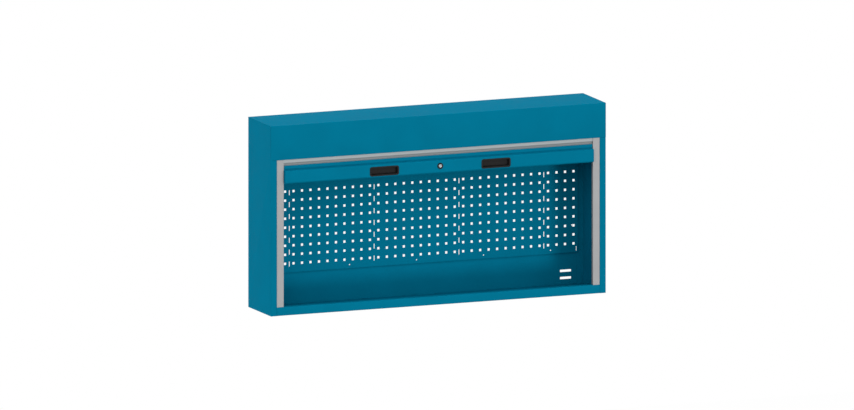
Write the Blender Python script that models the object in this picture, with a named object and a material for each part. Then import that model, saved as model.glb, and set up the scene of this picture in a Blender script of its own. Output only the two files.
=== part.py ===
"""A wall-mounted tool cabinet with a vertical tambour door, modelled piece by piece.

Lengths are metres. Under the datum empty, x runs along the cabinet from its middle, y runs back
from the front plane and z runs up from the underside. The datum puts the origin on the wall face
of the hanging rail. The door stands open, with its curtain stored behind the header.
"""

import math

import bmesh
import bpy
from mathutils import Vector

# Carcase
CABINET_WIDTH = 1.500
CABINET_HEIGHT = 0.800
CABINET_DEPTH = 0.250
CARCASE_SHEET = 0.0015
STILE_WIDTH = 0.0267
REAR_FLANGE_WIDTH = 0.030
HEADER_HEIGHT = 0.145
HEM_HEIGHT = 0.010
LIP_HEIGHT = 0.036
LIP_RETURN = 0.026
REAR_PANEL_LAP = 0.004
CABLE_SLOT_LENGTH = 0.050
CABLE_SLOT_HEIGHT = 0.010
CABLE_SLOT_CORNER = 0.002
CABLE_SLOT_INSET = 0.079
CABLE_SLOT_BASE = 0.028
CABLE_SLOT_STEP = 0.030
CABLE_SLOT_COUNT = 2

# Hanging rail and soffit
HANGING_DROP = 0.060
HANGING_SHEET = 0.002
HANGING_FLANGE = 0.025
HANGING_RAIL_DROP = 0.019
KEYHOLE_INSET = 0.150
KEYHOLE_RADIUS = 0.008
KEYHOLE_NECK = 0.009
KEYHOLE_RISE = 0.018
SOFFIT_SHEET = 0.0012
SOFFIT_UPTURN = 0.014
SOFFIT_FRONT_GAP = 0.002

# Perforated panel
PANEL_SHEET = 0.0012
PANEL_STANDOFF = 0.011
PANEL_SIDE_INSET = 0.028
PANEL_BASE = 0.135
HOLE_SIZE = 0.010
HOLE_PITCH = 0.038
HOLE_BASE = 0.172
HOLE_MARGIN = 0.015
HOLES_PER_BAY = 10
HOOK_SLOT_WIDTH = 0.0035
HOOK_SLOT_HEIGHT = 0.021
HOOK_SLOT_BASE = 0.170
HOOK_SLOT_PITCH = 0.050
FIXING_HOLE_RADIUS = 0.0025
FIXING_HOLE_HEIGHT = 0.150
FIXING_HOLE_INSET = 0.150
FIXING_HOLE_COUNT = 5
EDGE_SLOT_WIDTH = 0.0044
EDGE_SLOT_HEIGHT = 0.020
EDGE_SLOT_INSET = 0.006
EDGE_HOLE_HEIGHT = 0.2505
EDGE_HOLE_INSET = 0.027

# Guide rails
RAIL_WIDTH = 0.0303
RAIL_REAR_WIDTH = 0.0248
RAIL_SHEET = 0.0015
RAIL_SETBACK = 0.001
RAIL_TOP_INSET = 0.005

# Tambour curtain
SLAT_COUNT = 22
SLAT_SHEET = 0.0005
SLAT_HEIGHT = 0.027
SLAT_COVER = 0.0249
SLAT_NEST_STEP = 0.006
SLAT_GROOVE_HEIGHT = 0.0135
SLAT_GROOVE_DEPTH = 0.005
SLAT_GROOVE_RAMP = 0.004
SLAT_END_PLAY = 0.0045
SLAT_FRONT_PLAY = 0.0005
SLAT_REAR_PLAY = 0.0007
SLAT_FOOT = 0.014
SLAT_FOOT_SETBACK = 0.0025

# Closing bar
BAR_REST_DROP = 0.100
BAR_SHEET = 0.0012
BAR_PROUD = 0.012
BAR_CHAMFER_HEIGHT = 0.0055
BAR_CHAMFER_DEPTH = 0.0045
BAR_FACE_HEIGHT = 0.0485
BAR_LEDGE_DROP = 0.0025
BAR_GROOVE_HEIGHT = 0.004
BAR_GROOVE_DEPTH = 0.002
BAR_FLANGE_HEIGHT = 0.0145
BAR_BACK_DEPTH = 0.0235
BAR_REAR_LIP = 0.012
BAR_END_PLAY = 0.0009
BAR_REST_GAP = 0.0033
END_CAP_THICKNESS = 0.0015
COVER_RISE = 0.001
COVER_UPSTAND = 0.013
SHOE_HEIGHT = 0.016
SHOE_RISE = 0.004
SHOE_END_PLAY = 0.0035
STOP_LENGTH = 0.018
STOP_DEPTH = 0.011

# How far right of the bar's middle the pulls and the lock sit
FITTINGS_OFFSET = 0.003

# Recessed pulls
PULL_SPACING = 0.500
PULL_HEIGHT_ON_BAR = 0.0265
PULL_WIDTH = 0.1305
PULL_HEIGHT = 0.0395
PULL_CORNER = 0.009
PULL_FLANGE = 0.0015
PULL_RIM = 0.0045
PULL_WALL = 0.0015
PULL_DEPTH = 0.0153

# Lock
LOCK_HEIGHT_ON_BAR = 0.031
LOCK_RING_RADIUS = 0.0128
LOCK_RING_THICKNESS = 0.0019
LOCK_BODY_RADIUS = 0.010
LOCK_BODY_DEPTH = 0.0133
LOCK_BARREL_RADIUS = 0.007
LOCK_BARREL_PROUD = 0.0004
LOCK_TAIL_SIZE = 0.006
LOCK_TAIL_LENGTH = 0.0037
KEYWAY_WIDTH = 0.0016
KEYWAY_HEIGHT = 0.0085
KEYWAY_DEPTH = 0.004
LOCK_NUT_RADIUS = 0.014
LOCK_NUT_THICKNESS = 0.003
CAM_THROW = 0.012
CAM_THICKNESS = 0.002
CAM_WIDTH = 0.011
CAM_PIN_RADIUS = 0.0015
CAM_PIN_LENGTH = 0.0062
FORK_THICKNESS = 0.0022
FORK_WALL = 0.003
FORK_PLAY = 0.0002
FORK_MIDDLE_GAP = 0.0005
ROD_RADIUS = 0.003
ROD_OFFSET = 0.007
ROD_AXIS_DEPTH = 0.0085
ROD_TIP_INSET = 0.0003
ROD_HOLE_PLAY = 0.0003
ROD_GUIDE_INSET = 0.150
ROD_GUIDE_LENGTH = 0.020
ROD_GUIDE_WALL = 0.005
STRIKE_SHEET = 0.0025
STRIKE_LEG = 0.014
STRIKE_REACH = 0.025
STRIKE_PLAY = 0.0007
STRIKE_MARGIN = 0.001

# Curtain roller
ROLLER_DROP = 0.080
ROLLER_DEPTH = 0.140
ROLLER_RADIUS = 0.030
ROLLER_WALL = 0.0015
ROLLER_END_INSET = 0.060
PLUG_RIM = 0.002
PLUG_RIM_THICKNESS = 0.003
PLUG_LENGTH = 0.020
AXLE_RADIUS = 0.006
AXLE_PLAY = 0.0003
AXLE_REACH = 0.320
BRACKET_PLATE = 0.003
BRACKET_SIZE = 0.080
BRACKET_BOSS_RADIUS = 0.013
BRACKET_END_PLAY = 0.002
SPRING_WIRE_RADIUS = 0.0017
SPRING_LENGTH = 0.230
SPRING_TURNS = 12

# Fits, cuts and smoothness
FIT_GAP = 0.0003
CUT_OVERRUN = 0.004
ROUND_SIDES = 24
SMALL_ROUND_SIDES = 12
CORNER_STEPS = 4
COIL_STEPS = 10
WIRE_SIDES = 4
SMOOTH_ANGLE = math.radians(35.0)

# Finishes: linear colour, roughness, metallic
PETROL_BLUE = ((0.003, 0.175, 0.283), 0.42, 0.0)
RAIL_GREY = ((0.392, 0.397, 0.402), 0.45, 0.0)
SLAT_GREY = ((0.356, 0.402, 0.407), 0.40, 0.0)
PULL_BLACK = ((0.026, 0.021, 0.026), 0.55, 0.0)
CHROMED = ((0.560, 0.570, 0.580), 0.22, 1.0)
ZINC_PLATED = ((0.480, 0.490, 0.500), 0.38, 1.0)
NYLON = ((0.040, 0.040, 0.042), 0.60, 0.0)
SPRING_STEEL = ((0.180, 0.180, 0.185), 0.35, 1.0)
RUBBER = ((0.018, 0.018, 0.018), 0.85, 0.0)

# Places worked out from the sizes above
HALF_WIDTH = CABINET_WIDTH / 2
HEADER_BASE = CABINET_HEIGHT - HEADER_HEIGHT
HEM_DEPTH = 2 * CARCASE_SHEET
SIDE_TOP = CABINET_HEIGHT - CARCASE_SHEET - FIT_GAP
INSIDE_HALF_WIDTH = HALF_WIDTH - CARCASE_SHEET - FIT_GAP
FLOOR_BACK = CABINET_DEPTH - CARCASE_SHEET - FIT_GAP
REAR_PANEL_HEIGHT = PANEL_BASE + REAR_PANEL_LAP
HANGING_HEIGHT = CABINET_HEIGHT - HANGING_DROP
HANGING_BASE = HEADER_BASE - HANGING_RAIL_DROP
ROLLER_HEIGHT = CABINET_HEIGHT - ROLLER_DROP
ROLLER_LENGTH = 2 * (HALF_WIDTH - ROLLER_END_INSET)
BAR_BASE = HEADER_BASE - BAR_REST_DROP

FIRST_SLAT_FRONT = HEM_DEPTH + SLAT_FRONT_PLAY
SLAT_PLANE_STEP = SLAT_SHEET + FIT_GAP
SLAT_PACK_DEPTH = (SLAT_COUNT - 1) * SLAT_PLANE_STEP + SLAT_GROOVE_DEPTH + SLAT_SHEET
GROOVE_BACK = FIRST_SLAT_FRONT + SLAT_PACK_DEPTH + SLAT_REAR_PLAY
RAIL_BACK = GROOVE_BACK + RAIL_SHEET
RAIL_OUTER = HALF_WIDTH - STILE_WIDTH - FIT_GAP
RAIL_INNER = RAIL_OUTER - RAIL_WIDTH
RAIL_REAR_INNER = RAIL_OUTER - RAIL_REAR_WIDTH
GROOVE_OUTER = RAIL_OUTER - RAIL_SHEET
RAIL_BASE = LIP_HEIGHT + FIT_GAP
RAIL_TOP = SIDE_TOP - RAIL_TOP_INSET
STILE_RETURN = RAIL_BACK

BAR_FLANGE_FRONT = FIRST_SLAT_FRONT - FIT_GAP - BAR_SHEET
BAR_FACE_BASE = BAR_CHAMFER_HEIGHT
BAR_FACE_TOP = BAR_FACE_BASE + BAR_FACE_HEIGHT
BAR_LEDGE_TOP = BAR_FACE_TOP + BAR_LEDGE_DROP
BAR_GROOVE_TOP = BAR_LEDGE_TOP + BAR_GROOVE_HEIGHT
BAR_TOP = BAR_GROOVE_TOP + BAR_FLANGE_HEIGHT
BAR_GROOVE_BACK = BAR_FLANGE_FRONT + BAR_GROOVE_DEPTH
BAR_FACE_FRONT = -BAR_PROUD
BAR_HALF_WIDTH = RAIL_INNER - BAR_END_PLAY
SHELL_HALF_WIDTH = BAR_HALF_WIDTH - END_CAP_THICKNESS - FIT_GAP
COVER_BACK = BAR_BACK_DEPTH - BAR_SHEET - FIT_GAP
COVER_TOP = BAR_LEDGE_TOP + COVER_RISE
FOOT_FRONT = FIRST_SLAT_FRONT + SLAT_FOOT_SETBACK
COVER_UPSTAND_BACK = FOOT_FRONT + SLAT_SHEET + FIT_GAP + BAR_SHEET
FIRST_SLAT_BASE = BAR_BASE + BAR_TOP - BAR_SHEET - 2 * FIT_GAP
BAR_TRAVEL = BAR_BASE - LIP_HEIGHT - BAR_REST_GAP

LOCK_FRONT = BAR_FACE_FRONT - FIT_GAP
RIGHT_ROD_HEIGHT = LOCK_HEIGHT_ON_BAR + ROD_OFFSET
LEFT_ROD_HEIGHT = LOCK_HEIGHT_ON_BAR - ROD_OFFSET
STRIKE_FRONT = ROD_AXIS_DEPTH - ROD_RADIUS - STRIKE_MARGIN
STRIKE_BACK = ROD_AXIS_DEPTH + ROD_RADIUS + STRIKE_MARGIN
SHOE_FRONT = STRIKE_BACK + STRIKE_PLAY
SHOE_BACK = GROOVE_BACK - FIT_GAP


def clear_scene():
    """Remove whatever the scene holds."""
    for obj in list(bpy.data.objects):
        bpy.data.objects.remove(obj, do_unlink=True)


def empty(name, location=(0, 0, 0), parent=None):
    """An empty that carries pieces, or marks the axis that they turn about."""
    holder = bpy.data.objects.new(name, None)
    bpy.context.scene.collection.objects.link(holder)
    holder.location = location
    holder.parent = parent
    return holder


def sheet_outline(path, thickness):
    """Close an open path into the outline of a folded sheet, whose thickness lies to its left."""
    inner = []
    for index, point in enumerate(path):
        normals = []
        for start, end in ((index - 1, index), (index, index + 1)):
            if start < 0 or end >= len(path):
                continue
            run, rise = path[end][0] - path[start][0], path[end][1] - path[start][1]
            length = math.hypot(run, rise)
            normals.append(Vector((-rise / length, run / length)))
        mitre = sum(normals, Vector((0, 0)))
        mitre *= thickness / mitre.dot(normals[0])
        inner.append((point[0] + mitre.x, point[1] + mitre.y))
    return list(path) + inner[::-1]


def rectangle(left, base, right, top):
    return [(left, base), (right, base), (right, top), (left, top)]


def circle(radius, centre=(0, 0), sides=ROUND_SIDES):
    turn = 2 * math.pi / sides
    return [
        (centre[0] + radius * math.cos(turn * side), centre[1] + radius * math.sin(turn * side))
        for side in range(sides)
    ]


def rounded_rectangle(width, height, radius, centre=(0, 0)):
    """A rectangle whose corners are arcs. With a radius of half its height it is a slot."""
    points = []
    for quarter, (across, up) in enumerate(((1, 1), (-1, 1), (-1, -1), (1, -1))):
        corner_x = centre[0] + across * (width / 2 - radius)
        corner_y = centre[1] + up * (height / 2 - radius)
        for step in range(CORNER_STEPS + 1):
            angle = math.pi / 2 * (quarter + step / CORNER_STEPS)
            points.append((corner_x + radius * math.cos(angle), corner_y + radius * math.sin(angle)))
    return points


def prism(outline, axis, start, end):
    """Sweep an outline along X (from y, z points), Y (from x, z points) or Z (from x, y points)."""
    place = {
        "X": lambda first, second, along: (along, first, second),
        "Y": lambda first, second, along: (first, along, second),
        "Z": lambda first, second, along: (first, second, along),
    }[axis]
    solid = bmesh.new()
    near = [solid.verts.new(place(first, second, start)) for first, second in outline]
    far = [solid.verts.new(place(first, second, end)) for first, second in outline]
    solid.faces.new(near)
    solid.faces.new(far)
    for index in range(len(outline)):
        following = (index + 1) % len(outline)
        solid.faces.new((near[index], near[following], far[following], far[index]))
    bmesh.ops.recalc_face_normals(solid, faces=solid.faces)
    return solid


def box(low, high):
    return prism(rectangle(low[0], low[1], high[0], high[1]), "Z", low[2], high[2])


def gather(solids):
    """Put solids that don't touch into one mesh, so that one cut makes a whole pattern."""
    together = bmesh.new()
    for solid in solids:
        mesh = bpy.data.meshes.new("pattern_part")
        solid.to_mesh(mesh)
        solid.free()
        together.from_mesh(mesh)
        bpy.data.meshes.remove(mesh)
    return together


def add_object(name, solid, parent):
    mesh = bpy.data.meshes.new(name)
    solid.to_mesh(mesh)
    solid.free()
    obj = bpy.data.objects.new(name, mesh)
    bpy.context.scene.collection.objects.link(obj)
    obj.parent = parent
    return obj


def make_piece(name, solid, finish, parent, location=(0, 0, 0)):
    """A named piece with a material of its own."""
    colour, roughness, metallic = finish
    piece = add_object(name, solid, parent)
    piece.location = location
    material = bpy.data.materials.new(name + "_finish")
    material.use_nodes = True
    shader = material.node_tree.nodes["Principled BSDF"]
    shader.inputs["Base Color"].default_value = (*colour, 1.0)
    shader.inputs["Roughness"].default_value = roughness
    shader.inputs["Metallic"].default_value = metallic
    piece.data.materials.append(material)
    return piece


def shape_with(piece, solid, operation):
    """Cut a solid from a piece (DIFFERENCE) or grow the piece by it (UNION)."""
    step = len(piece.modifiers) + 1
    tool = add_object(f"{piece.name}_tool_{step}", solid, piece.parent)
    tool.location = piece.location
    tool.hide_render = True
    tool.display_type = "WIRE"
    modifier = piece.modifiers.new(f"{operation.lower()}_{step}", "BOOLEAN")
    modifier.operation = operation
    modifier.object = tool


def cut(piece, solid):
    shape_with(piece, solid, "DIFFERENCE")


def grow(piece, solid):
    shape_with(piece, solid, "UNION")


def shade_round(piece):
    piece.data.shade_smooth()
    piece.data.set_sharp_from_angle(angle=SMOOTH_ANGLE)


def side_panel(name, side, parent):
    """A folded side sheet: stile return, front stile, side and rear flange."""
    path = [
        (RAIL_OUTER + FIT_GAP, STILE_RETURN),
        (RAIL_OUTER + FIT_GAP, 0),
        (HALF_WIDTH, 0),
        (HALF_WIDTH, CABINET_DEPTH),
        (HALF_WIDTH - REAR_FLANGE_WIDTH, CABINET_DEPTH),
    ]
    outline = [(side * x, y) for x, y in sheet_outline(path, CARCASE_SHEET)]
    panel = make_piece(name, prism(outline, "Z", 0, SIDE_TOP), PETROL_BLUE, parent)
    header_room = rectangle(
        side * (RAIL_INNER - CUT_OVERRUN),
        -CUT_OVERRUN,
        side * (HALF_WIDTH + CUT_OVERRUN),
        HEM_DEPTH + FIT_GAP,
    )
    cut(panel, prism(header_room, "Z", HEADER_BASE - FIT_GAP, CABINET_HEIGHT))


def hood_cover(parent):
    """Top sheet and header in one, with a folded hem along the header's lower edge."""
    outline = [
        (0, HEADER_BASE),
        (0, CABINET_HEIGHT),
        (CABINET_DEPTH, CABINET_HEIGHT),
        (CABINET_DEPTH, CABINET_HEIGHT - CARCASE_SHEET),
        (CARCASE_SHEET, CABINET_HEIGHT - CARCASE_SHEET),
        (CARCASE_SHEET, HEADER_BASE + HEM_HEIGHT),
        (HEM_DEPTH, HEADER_BASE + HEM_HEIGHT),
        (HEM_DEPTH, HEADER_BASE),
    ]
    make_piece("hood_cover", prism(outline, "X", -HALF_WIDTH, HALF_WIDTH), PETROL_BLUE, parent)


def bottom_tray(parent):
    """Floor, front lip and the return on which the closed bar comes to rest."""
    path = [
        (LIP_RETURN, LIP_HEIGHT),
        (0, LIP_HEIGHT),
        (0, 0),
        (FLOOR_BACK, 0),
    ]
    between_stiles = RAIL_OUTER
    solid = prism(sheet_outline(path, CARCASE_SHEET), "X", -between_stiles, between_stiles)
    tray = make_piece("bottom_tray", solid, PETROL_BLUE, parent)
    low = (-INSIDE_HALF_WIDTH, STILE_RETURN + FIT_GAP, 0)
    grow(tray, box(low, (INSIDE_HALF_WIDTH, FLOOR_BACK, CARCASE_SHEET)))


def rear_panel(parent):
    """Low rear sheet between the side panels' flanges, with the cable slots at its right end."""
    half = HALF_WIDTH - REAR_FLANGE_WIDTH - FIT_GAP
    front = CABINET_DEPTH - CARCASE_SHEET
    solid = box((-half, front, 0), (half, CABINET_DEPTH, REAR_PANEL_HEIGHT))
    panel = make_piece("rear_panel", solid, PETROL_BLUE, parent)
    slots = []
    for row in range(CABLE_SLOT_COUNT):
        centre = (HALF_WIDTH - CABLE_SLOT_INSET, CABLE_SLOT_BASE + row * CABLE_SLOT_STEP)
        slot = rounded_rectangle(CABLE_SLOT_LENGTH, CABLE_SLOT_HEIGHT, CABLE_SLOT_CORNER, centre)
        slots.append(prism(slot, "Y", front - CUT_OVERRUN, CABINET_DEPTH + CUT_OVERRUN))
    cut(panel, gather(slots))


def hanging_rail(parent):
    """Folded rail under the top sheet. Its keyholes drop over the heads of the wall screws."""
    half = HALF_WIDTH - REAR_FLANGE_WIDTH - FIT_GAP
    flange_front = CABINET_DEPTH - HANGING_FLANGE
    path = [
        (flange_front, HANGING_BASE),
        (CABINET_DEPTH, HANGING_BASE),
        (CABINET_DEPTH, SIDE_TOP),
        (flange_front, SIDE_TOP),
    ]
    solid = prism(sheet_outline(path, HANGING_SHEET), "X", -half, half)
    rail = make_piece("hanging_rail", solid, ZINC_PLATED, parent)
    through = (CABINET_DEPTH - HANGING_SHEET - CUT_OVERRUN, CABINET_DEPTH + CUT_OVERRUN)
    for side in (-1, 1):
        centre = (side * (HALF_WIDTH - KEYHOLE_INSET), HANGING_HEIGHT)
        cut(rail, prism(circle(KEYHOLE_RADIUS, centre, SMALL_ROUND_SIDES), "Y", *through))
        neck_centre = (centre[0], HANGING_HEIGHT + KEYHOLE_RISE / 2)
        neck_length = KEYHOLE_RISE + KEYHOLE_NECK
        neck = rounded_rectangle(KEYHOLE_NECK, neck_length, KEYHOLE_NECK / 2, neck_centre)
        cut(rail, prism(neck, "Y", *through))


def hood_soffit(parent):
    """Sheet that closes the curtain store from below, turned up where the curtain passes."""
    base = HANGING_BASE + HANGING_SHEET + FIT_GAP
    front = RAIL_BACK + SOFFIT_FRONT_GAP
    back = CABINET_DEPTH - HANGING_SHEET - FIT_GAP
    outline = sheet_outline([(front, base + SOFFIT_UPTURN), (front, base), (back, base)], SOFFIT_SHEET)
    solid = prism(outline, "X", -INSIDE_HALF_WIDTH, INSIDE_HALF_WIDTH)
    make_piece("hood_soffit", solid, PETROL_BLUE, parent)


def perforated_panel(parent):
    """Shallow tray of sheet, pierced with square holes, hook slots and fixing holes."""
    half = HALF_WIDTH - PANEL_SIDE_INSET
    front = CABINET_DEPTH - PANEL_STANDOFF
    back = CABINET_DEPTH - CARCASE_SHEET - FIT_GAP
    top = HANGING_BASE - FIT_GAP
    solid = box((-half, front, PANEL_BASE), (half, back, top))
    panel = make_piece("perforated_panel", solid, PETROL_BLUE, parent)
    inside = half - PANEL_SHEET
    low = (-inside, front + PANEL_SHEET, PANEL_BASE + PANEL_SHEET)
    cut(panel, box(low, (inside, back + CUT_OVERRUN, top - PANEL_SHEET)))

    through = (front - CUT_OVERRUN, front + PANEL_SHEET + CUT_OVERRUN)
    columns = int((2 * half - 2 * HOLE_MARGIN) / HOLE_PITCH) + 1
    rows = int((BAR_BASE - HOLE_BASE) / HOLE_PITCH) + 1
    first_column = -(columns - 1) * HOLE_PITCH / 2
    reach = HOLE_SIZE / 2
    holes = []
    for column in range(columns):
        for row in range(rows):
            x = first_column + column * HOLE_PITCH
            z = HOLE_BASE + row * HOLE_PITCH
            hole = rectangle(x - reach, z - reach, x + reach, z + reach)
            holes.append(prism(hole, "Y", *through))
    cut(panel, gather(holes))

    bay = HOLES_PER_BAY * HOLE_PITCH
    bays = int(2 * half / bay + 1 / 2)
    slot_rows = int((BAR_BASE - HOOK_SLOT_BASE) / HOOK_SLOT_PITCH) + 1
    slots = []
    for column in range(bays):
        x = (column - (bays - 1) / 2) * bay
        for row in range(slot_rows):
            z = HOOK_SLOT_BASE + row * HOOK_SLOT_PITCH
            slots.append(slot_prism(x, z, HOOK_SLOT_WIDTH, HOOK_SLOT_HEIGHT, through))
    for side in (-1, 1):
        x = side * (half - EDGE_SLOT_INSET)
        slots.append(slot_prism(x, FIXING_HOLE_HEIGHT, EDGE_SLOT_WIDTH, EDGE_SLOT_HEIGHT, through))
    cut(panel, gather(slots))

    fixings = []
    half_span = HALF_WIDTH - FIXING_HOLE_INSET
    for index in range(FIXING_HOLE_COUNT):
        x = (2 * index / (FIXING_HOLE_COUNT - 1) - 1) * half_span
        hole = circle(FIXING_HOLE_RADIUS, (x, FIXING_HOLE_HEIGHT), SMALL_ROUND_SIDES)
        fixings.append(prism(hole, "Y", *through))
    for side in (-1, 1):
        centre = (side * (half - EDGE_HOLE_INSET), EDGE_HOLE_HEIGHT)
        hole = circle(FIXING_HOLE_RADIUS, centre, SMALL_ROUND_SIDES)
        fixings.append(prism(hole, "Y", *through))
    cut(panel, gather(fixings))


def slot_prism(x, z, width, height, through):
    """An upright slot with square ends."""
    outline = rectangle(x - width / 2, z - height / 2, x + width / 2, z + height / 2)
    return prism(outline, "Y", *through)


def guide_rail(name, side, parent):
    """Grey channel, open towards the door. Its front flange is the wider and ends under the header."""
    path = [
        (RAIL_INNER, RAIL_SETBACK),
        (RAIL_OUTER, RAIL_SETBACK),
        (RAIL_OUTER, RAIL_BACK),
        (RAIL_REAR_INNER, RAIL_BACK),
    ]
    outline = [(side * x, y) for x, y in sheet_outline(path, RAIL_SHEET)]
    rail = make_piece(name, prism(outline, "Z", RAIL_BASE, RAIL_TOP), RAIL_GREY, parent)
    header_room = rectangle(
        side * (RAIL_INNER - CUT_OVERRUN),
        -CUT_OVERRUN,
        side * (RAIL_OUTER + CUT_OVERRUN),
        HEM_DEPTH + FIT_GAP,
    )
    cut(rail, prism(header_room, "Z", HEADER_BASE - FIT_GAP, CABINET_HEIGHT))


def strike_plate(name, side, rod_height, parent):
    """Angle on the rail's web. The rod slides under its ledge when the door is shut and locked."""
    outer = GROOVE_OUTER - FIT_GAP
    ledge = BAR_BASE + rod_height + ROD_RADIUS - BAR_TRAVEL + STRIKE_PLAY
    path = [(outer - STRIKE_REACH, ledge), (outer, ledge), (outer, ledge + STRIKE_LEG)]
    outline = [(side * x, z) for x, z in sheet_outline(path, STRIKE_SHEET)]
    make_piece(name, prism(outline, "Y", STRIKE_FRONT, STRIKE_BACK), ZINC_PLATED, parent)


def stop_rubber(name, side, parent):
    """Buffer at the foot of the rail's groove, which takes the guide shoe of the closing door."""
    base = LIP_HEIGHT + FIT_GAP
    top = BAR_BASE + SHOE_RISE - BAR_TRAVEL - FIT_GAP
    inner = BAR_HALF_WIDTH + FIT_GAP + SHOE_END_PLAY
    back = LIP_RETURN - FIT_GAP
    outline = [(side * x, y) for x, y in rectangle(inner, back - STOP_DEPTH, inner + STOP_LENGTH, back)]
    make_piece(name, prism(outline, "Z", base, top), RUBBER, parent)


def roller_bracket(name, side, axis_holder):
    """Plate on the side panel with a bored boss that carries the roller's axle."""
    outer = INSIDE_HALF_WIDTH
    inner = outer - BRACKET_PLATE
    boss_end = ROLLER_LENGTH / 2 + PLUG_RIM_THICKNESS + BRACKET_END_PLAY
    half = BRACKET_SIZE / 2
    solid = prism(rectangle(-half, -half, half, half), "X", side * inner, side * outer)
    bracket = make_piece(name, solid, ZINC_PLATED, axis_holder)
    boss_start = inner + BRACKET_PLATE / 2
    grow(bracket, prism(circle(BRACKET_BOSS_RADIUS), "X", side * boss_end, side * boss_start))
    bore = circle(AXLE_RADIUS + AXLE_PLAY)
    bore_ends = (side * (boss_end - CUT_OVERRUN), side * (outer + CUT_OVERRUN))
    cut(bracket, prism(bore, "X", *bore_ends))
    shade_round(bracket)


def roller_tube(axis_holder):
    half = ROLLER_LENGTH / 2
    tube = make_piece("roller_tube", prism(circle(ROLLER_RADIUS), "X", -half, half), ZINC_PLATED, axis_holder)
    bore = circle(ROLLER_RADIUS - ROLLER_WALL)
    cut(tube, prism(bore, "X", -half - CUT_OVERRUN, half + CUT_OVERRUN))
    shade_round(tube)


def roller_end_plug(name, side, axis_holder):
    """Plug in the tube's end. The left one has the turning pin, the right one a bore for the axle."""
    tube_end = ROLLER_LENGTH / 2
    rim_start = tube_end + FIT_GAP
    rim_end = rim_start + PLUG_RIM_THICKNESS
    rim = prism(circle(ROLLER_RADIUS + PLUG_RIM), "X", side * rim_start, side * rim_end)
    plug = make_piece(name, rim, NYLON, axis_holder)
    core = circle(ROLLER_RADIUS - ROLLER_WALL - FIT_GAP)
    middle = side * (rim_start + PLUG_RIM_THICKNESS / 2)
    grow(plug, prism(core, "X", side * (tube_end - PLUG_LENGTH), middle))
    if side < 0:
        grow(plug, prism(circle(AXLE_RADIUS), "X", middle, side * INSIDE_HALF_WIDTH))
    else:
        bore_ends = (tube_end - PLUG_LENGTH - CUT_OVERRUN, rim_end + CUT_OVERRUN)
        cut(plug, prism(circle(AXLE_RADIUS + AXLE_PLAY), "X", *bore_ends))
    shade_round(plug)


def spring_axle(axis_holder):
    """Fixed axle, from the right bracket into the tube, that anchors the balance spring."""
    ends = (INSIDE_HALF_WIDTH - AXLE_REACH, INSIDE_HALF_WIDTH)
    axle = make_piece("spring_axle", prism(circle(AXLE_RADIUS), "X", *ends), ZINC_PLATED, axis_holder)
    shade_round(axle)


def torsion_spring(axis_holder):
    """Wire coil that lies against the tube's wall, from the right plug inwards."""
    end = ROLLER_LENGTH / 2 - PLUG_LENGTH - FIT_GAP - SPRING_WIRE_RADIUS
    coil_radius = ROLLER_RADIUS - ROLLER_WALL - FIT_GAP - SPRING_WIRE_RADIUS
    steps = SPRING_TURNS * COIL_STEPS
    solid = bmesh.new()
    rings = []
    for step in range(steps + 1):
        angle = 2 * math.pi * step / COIL_STEPS
        outward = Vector((0, math.cos(angle), math.sin(angle)))
        middle = Vector((end - SPRING_LENGTH * step / steps, 0, 0)) + coil_radius * outward
        ring = []
        for corner in range(WIRE_SIDES):
            turn = 2 * math.pi * corner / WIRE_SIDES
            offset = math.cos(turn) * outward + math.sin(turn) * Vector((1, 0, 0))
            ring.append(solid.verts.new(middle + SPRING_WIRE_RADIUS * offset))
        rings.append(ring)
    for first, second in zip(rings, rings[1:]):
        for corner in range(WIRE_SIDES):
            following = (corner + 1) % WIRE_SIDES
            solid.faces.new((first[corner], first[following], second[following], second[corner]))
    solid.faces.new(rings[0])
    solid.faces.new(rings[-1])
    bmesh.ops.recalc_face_normals(solid, faces=solid.faces)
    shade_round(make_piece("torsion_spring", solid, SPRING_STEEL, axis_holder))


def slat_path(with_foot):
    """Front of a slat from its top down, in (y, z): a flat, then a ramp back into a groove.

    The lowest slat goes on forwards and down into the foot that the closing bar holds.
    """
    path = [
        (0, SLAT_HEIGHT),
        (0, SLAT_GROOVE_HEIGHT),
        (SLAT_GROOVE_DEPTH, SLAT_GROOVE_HEIGHT - SLAT_GROOVE_RAMP),
        (SLAT_GROOVE_DEPTH, 0),
    ]
    if with_foot:
        path.append((SLAT_FOOT_SETBACK, SLAT_FOOT_SETBACK - SLAT_GROOVE_DEPTH))
        path.append((SLAT_FOOT_SETBACK, -SLAT_FOOT))
    return path


def tambour_slats(parent):
    """The curtain: each slat lies one sheet and a gap behind the slat below it.

    Behind the header the slats stand nested, one short step above each other. As the door shuts
    they draw out to their full cover.
    """
    half = GROOVE_OUTER - SLAT_END_PLAY
    for index in range(SLAT_COUNT):
        name = f"tambour_slat_{index + 1:02d}"
        outline = sheet_outline(slat_path(with_foot=index == 0), SLAT_SHEET)
        depth = FIRST_SLAT_FRONT + index * SLAT_PLANE_STEP
        height = FIRST_SLAT_BASE + index * SLAT_NEST_STEP
        make_piece(name, prism(outline, "X", -half, half), SLAT_GREY, parent, (0, depth, height))


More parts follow.
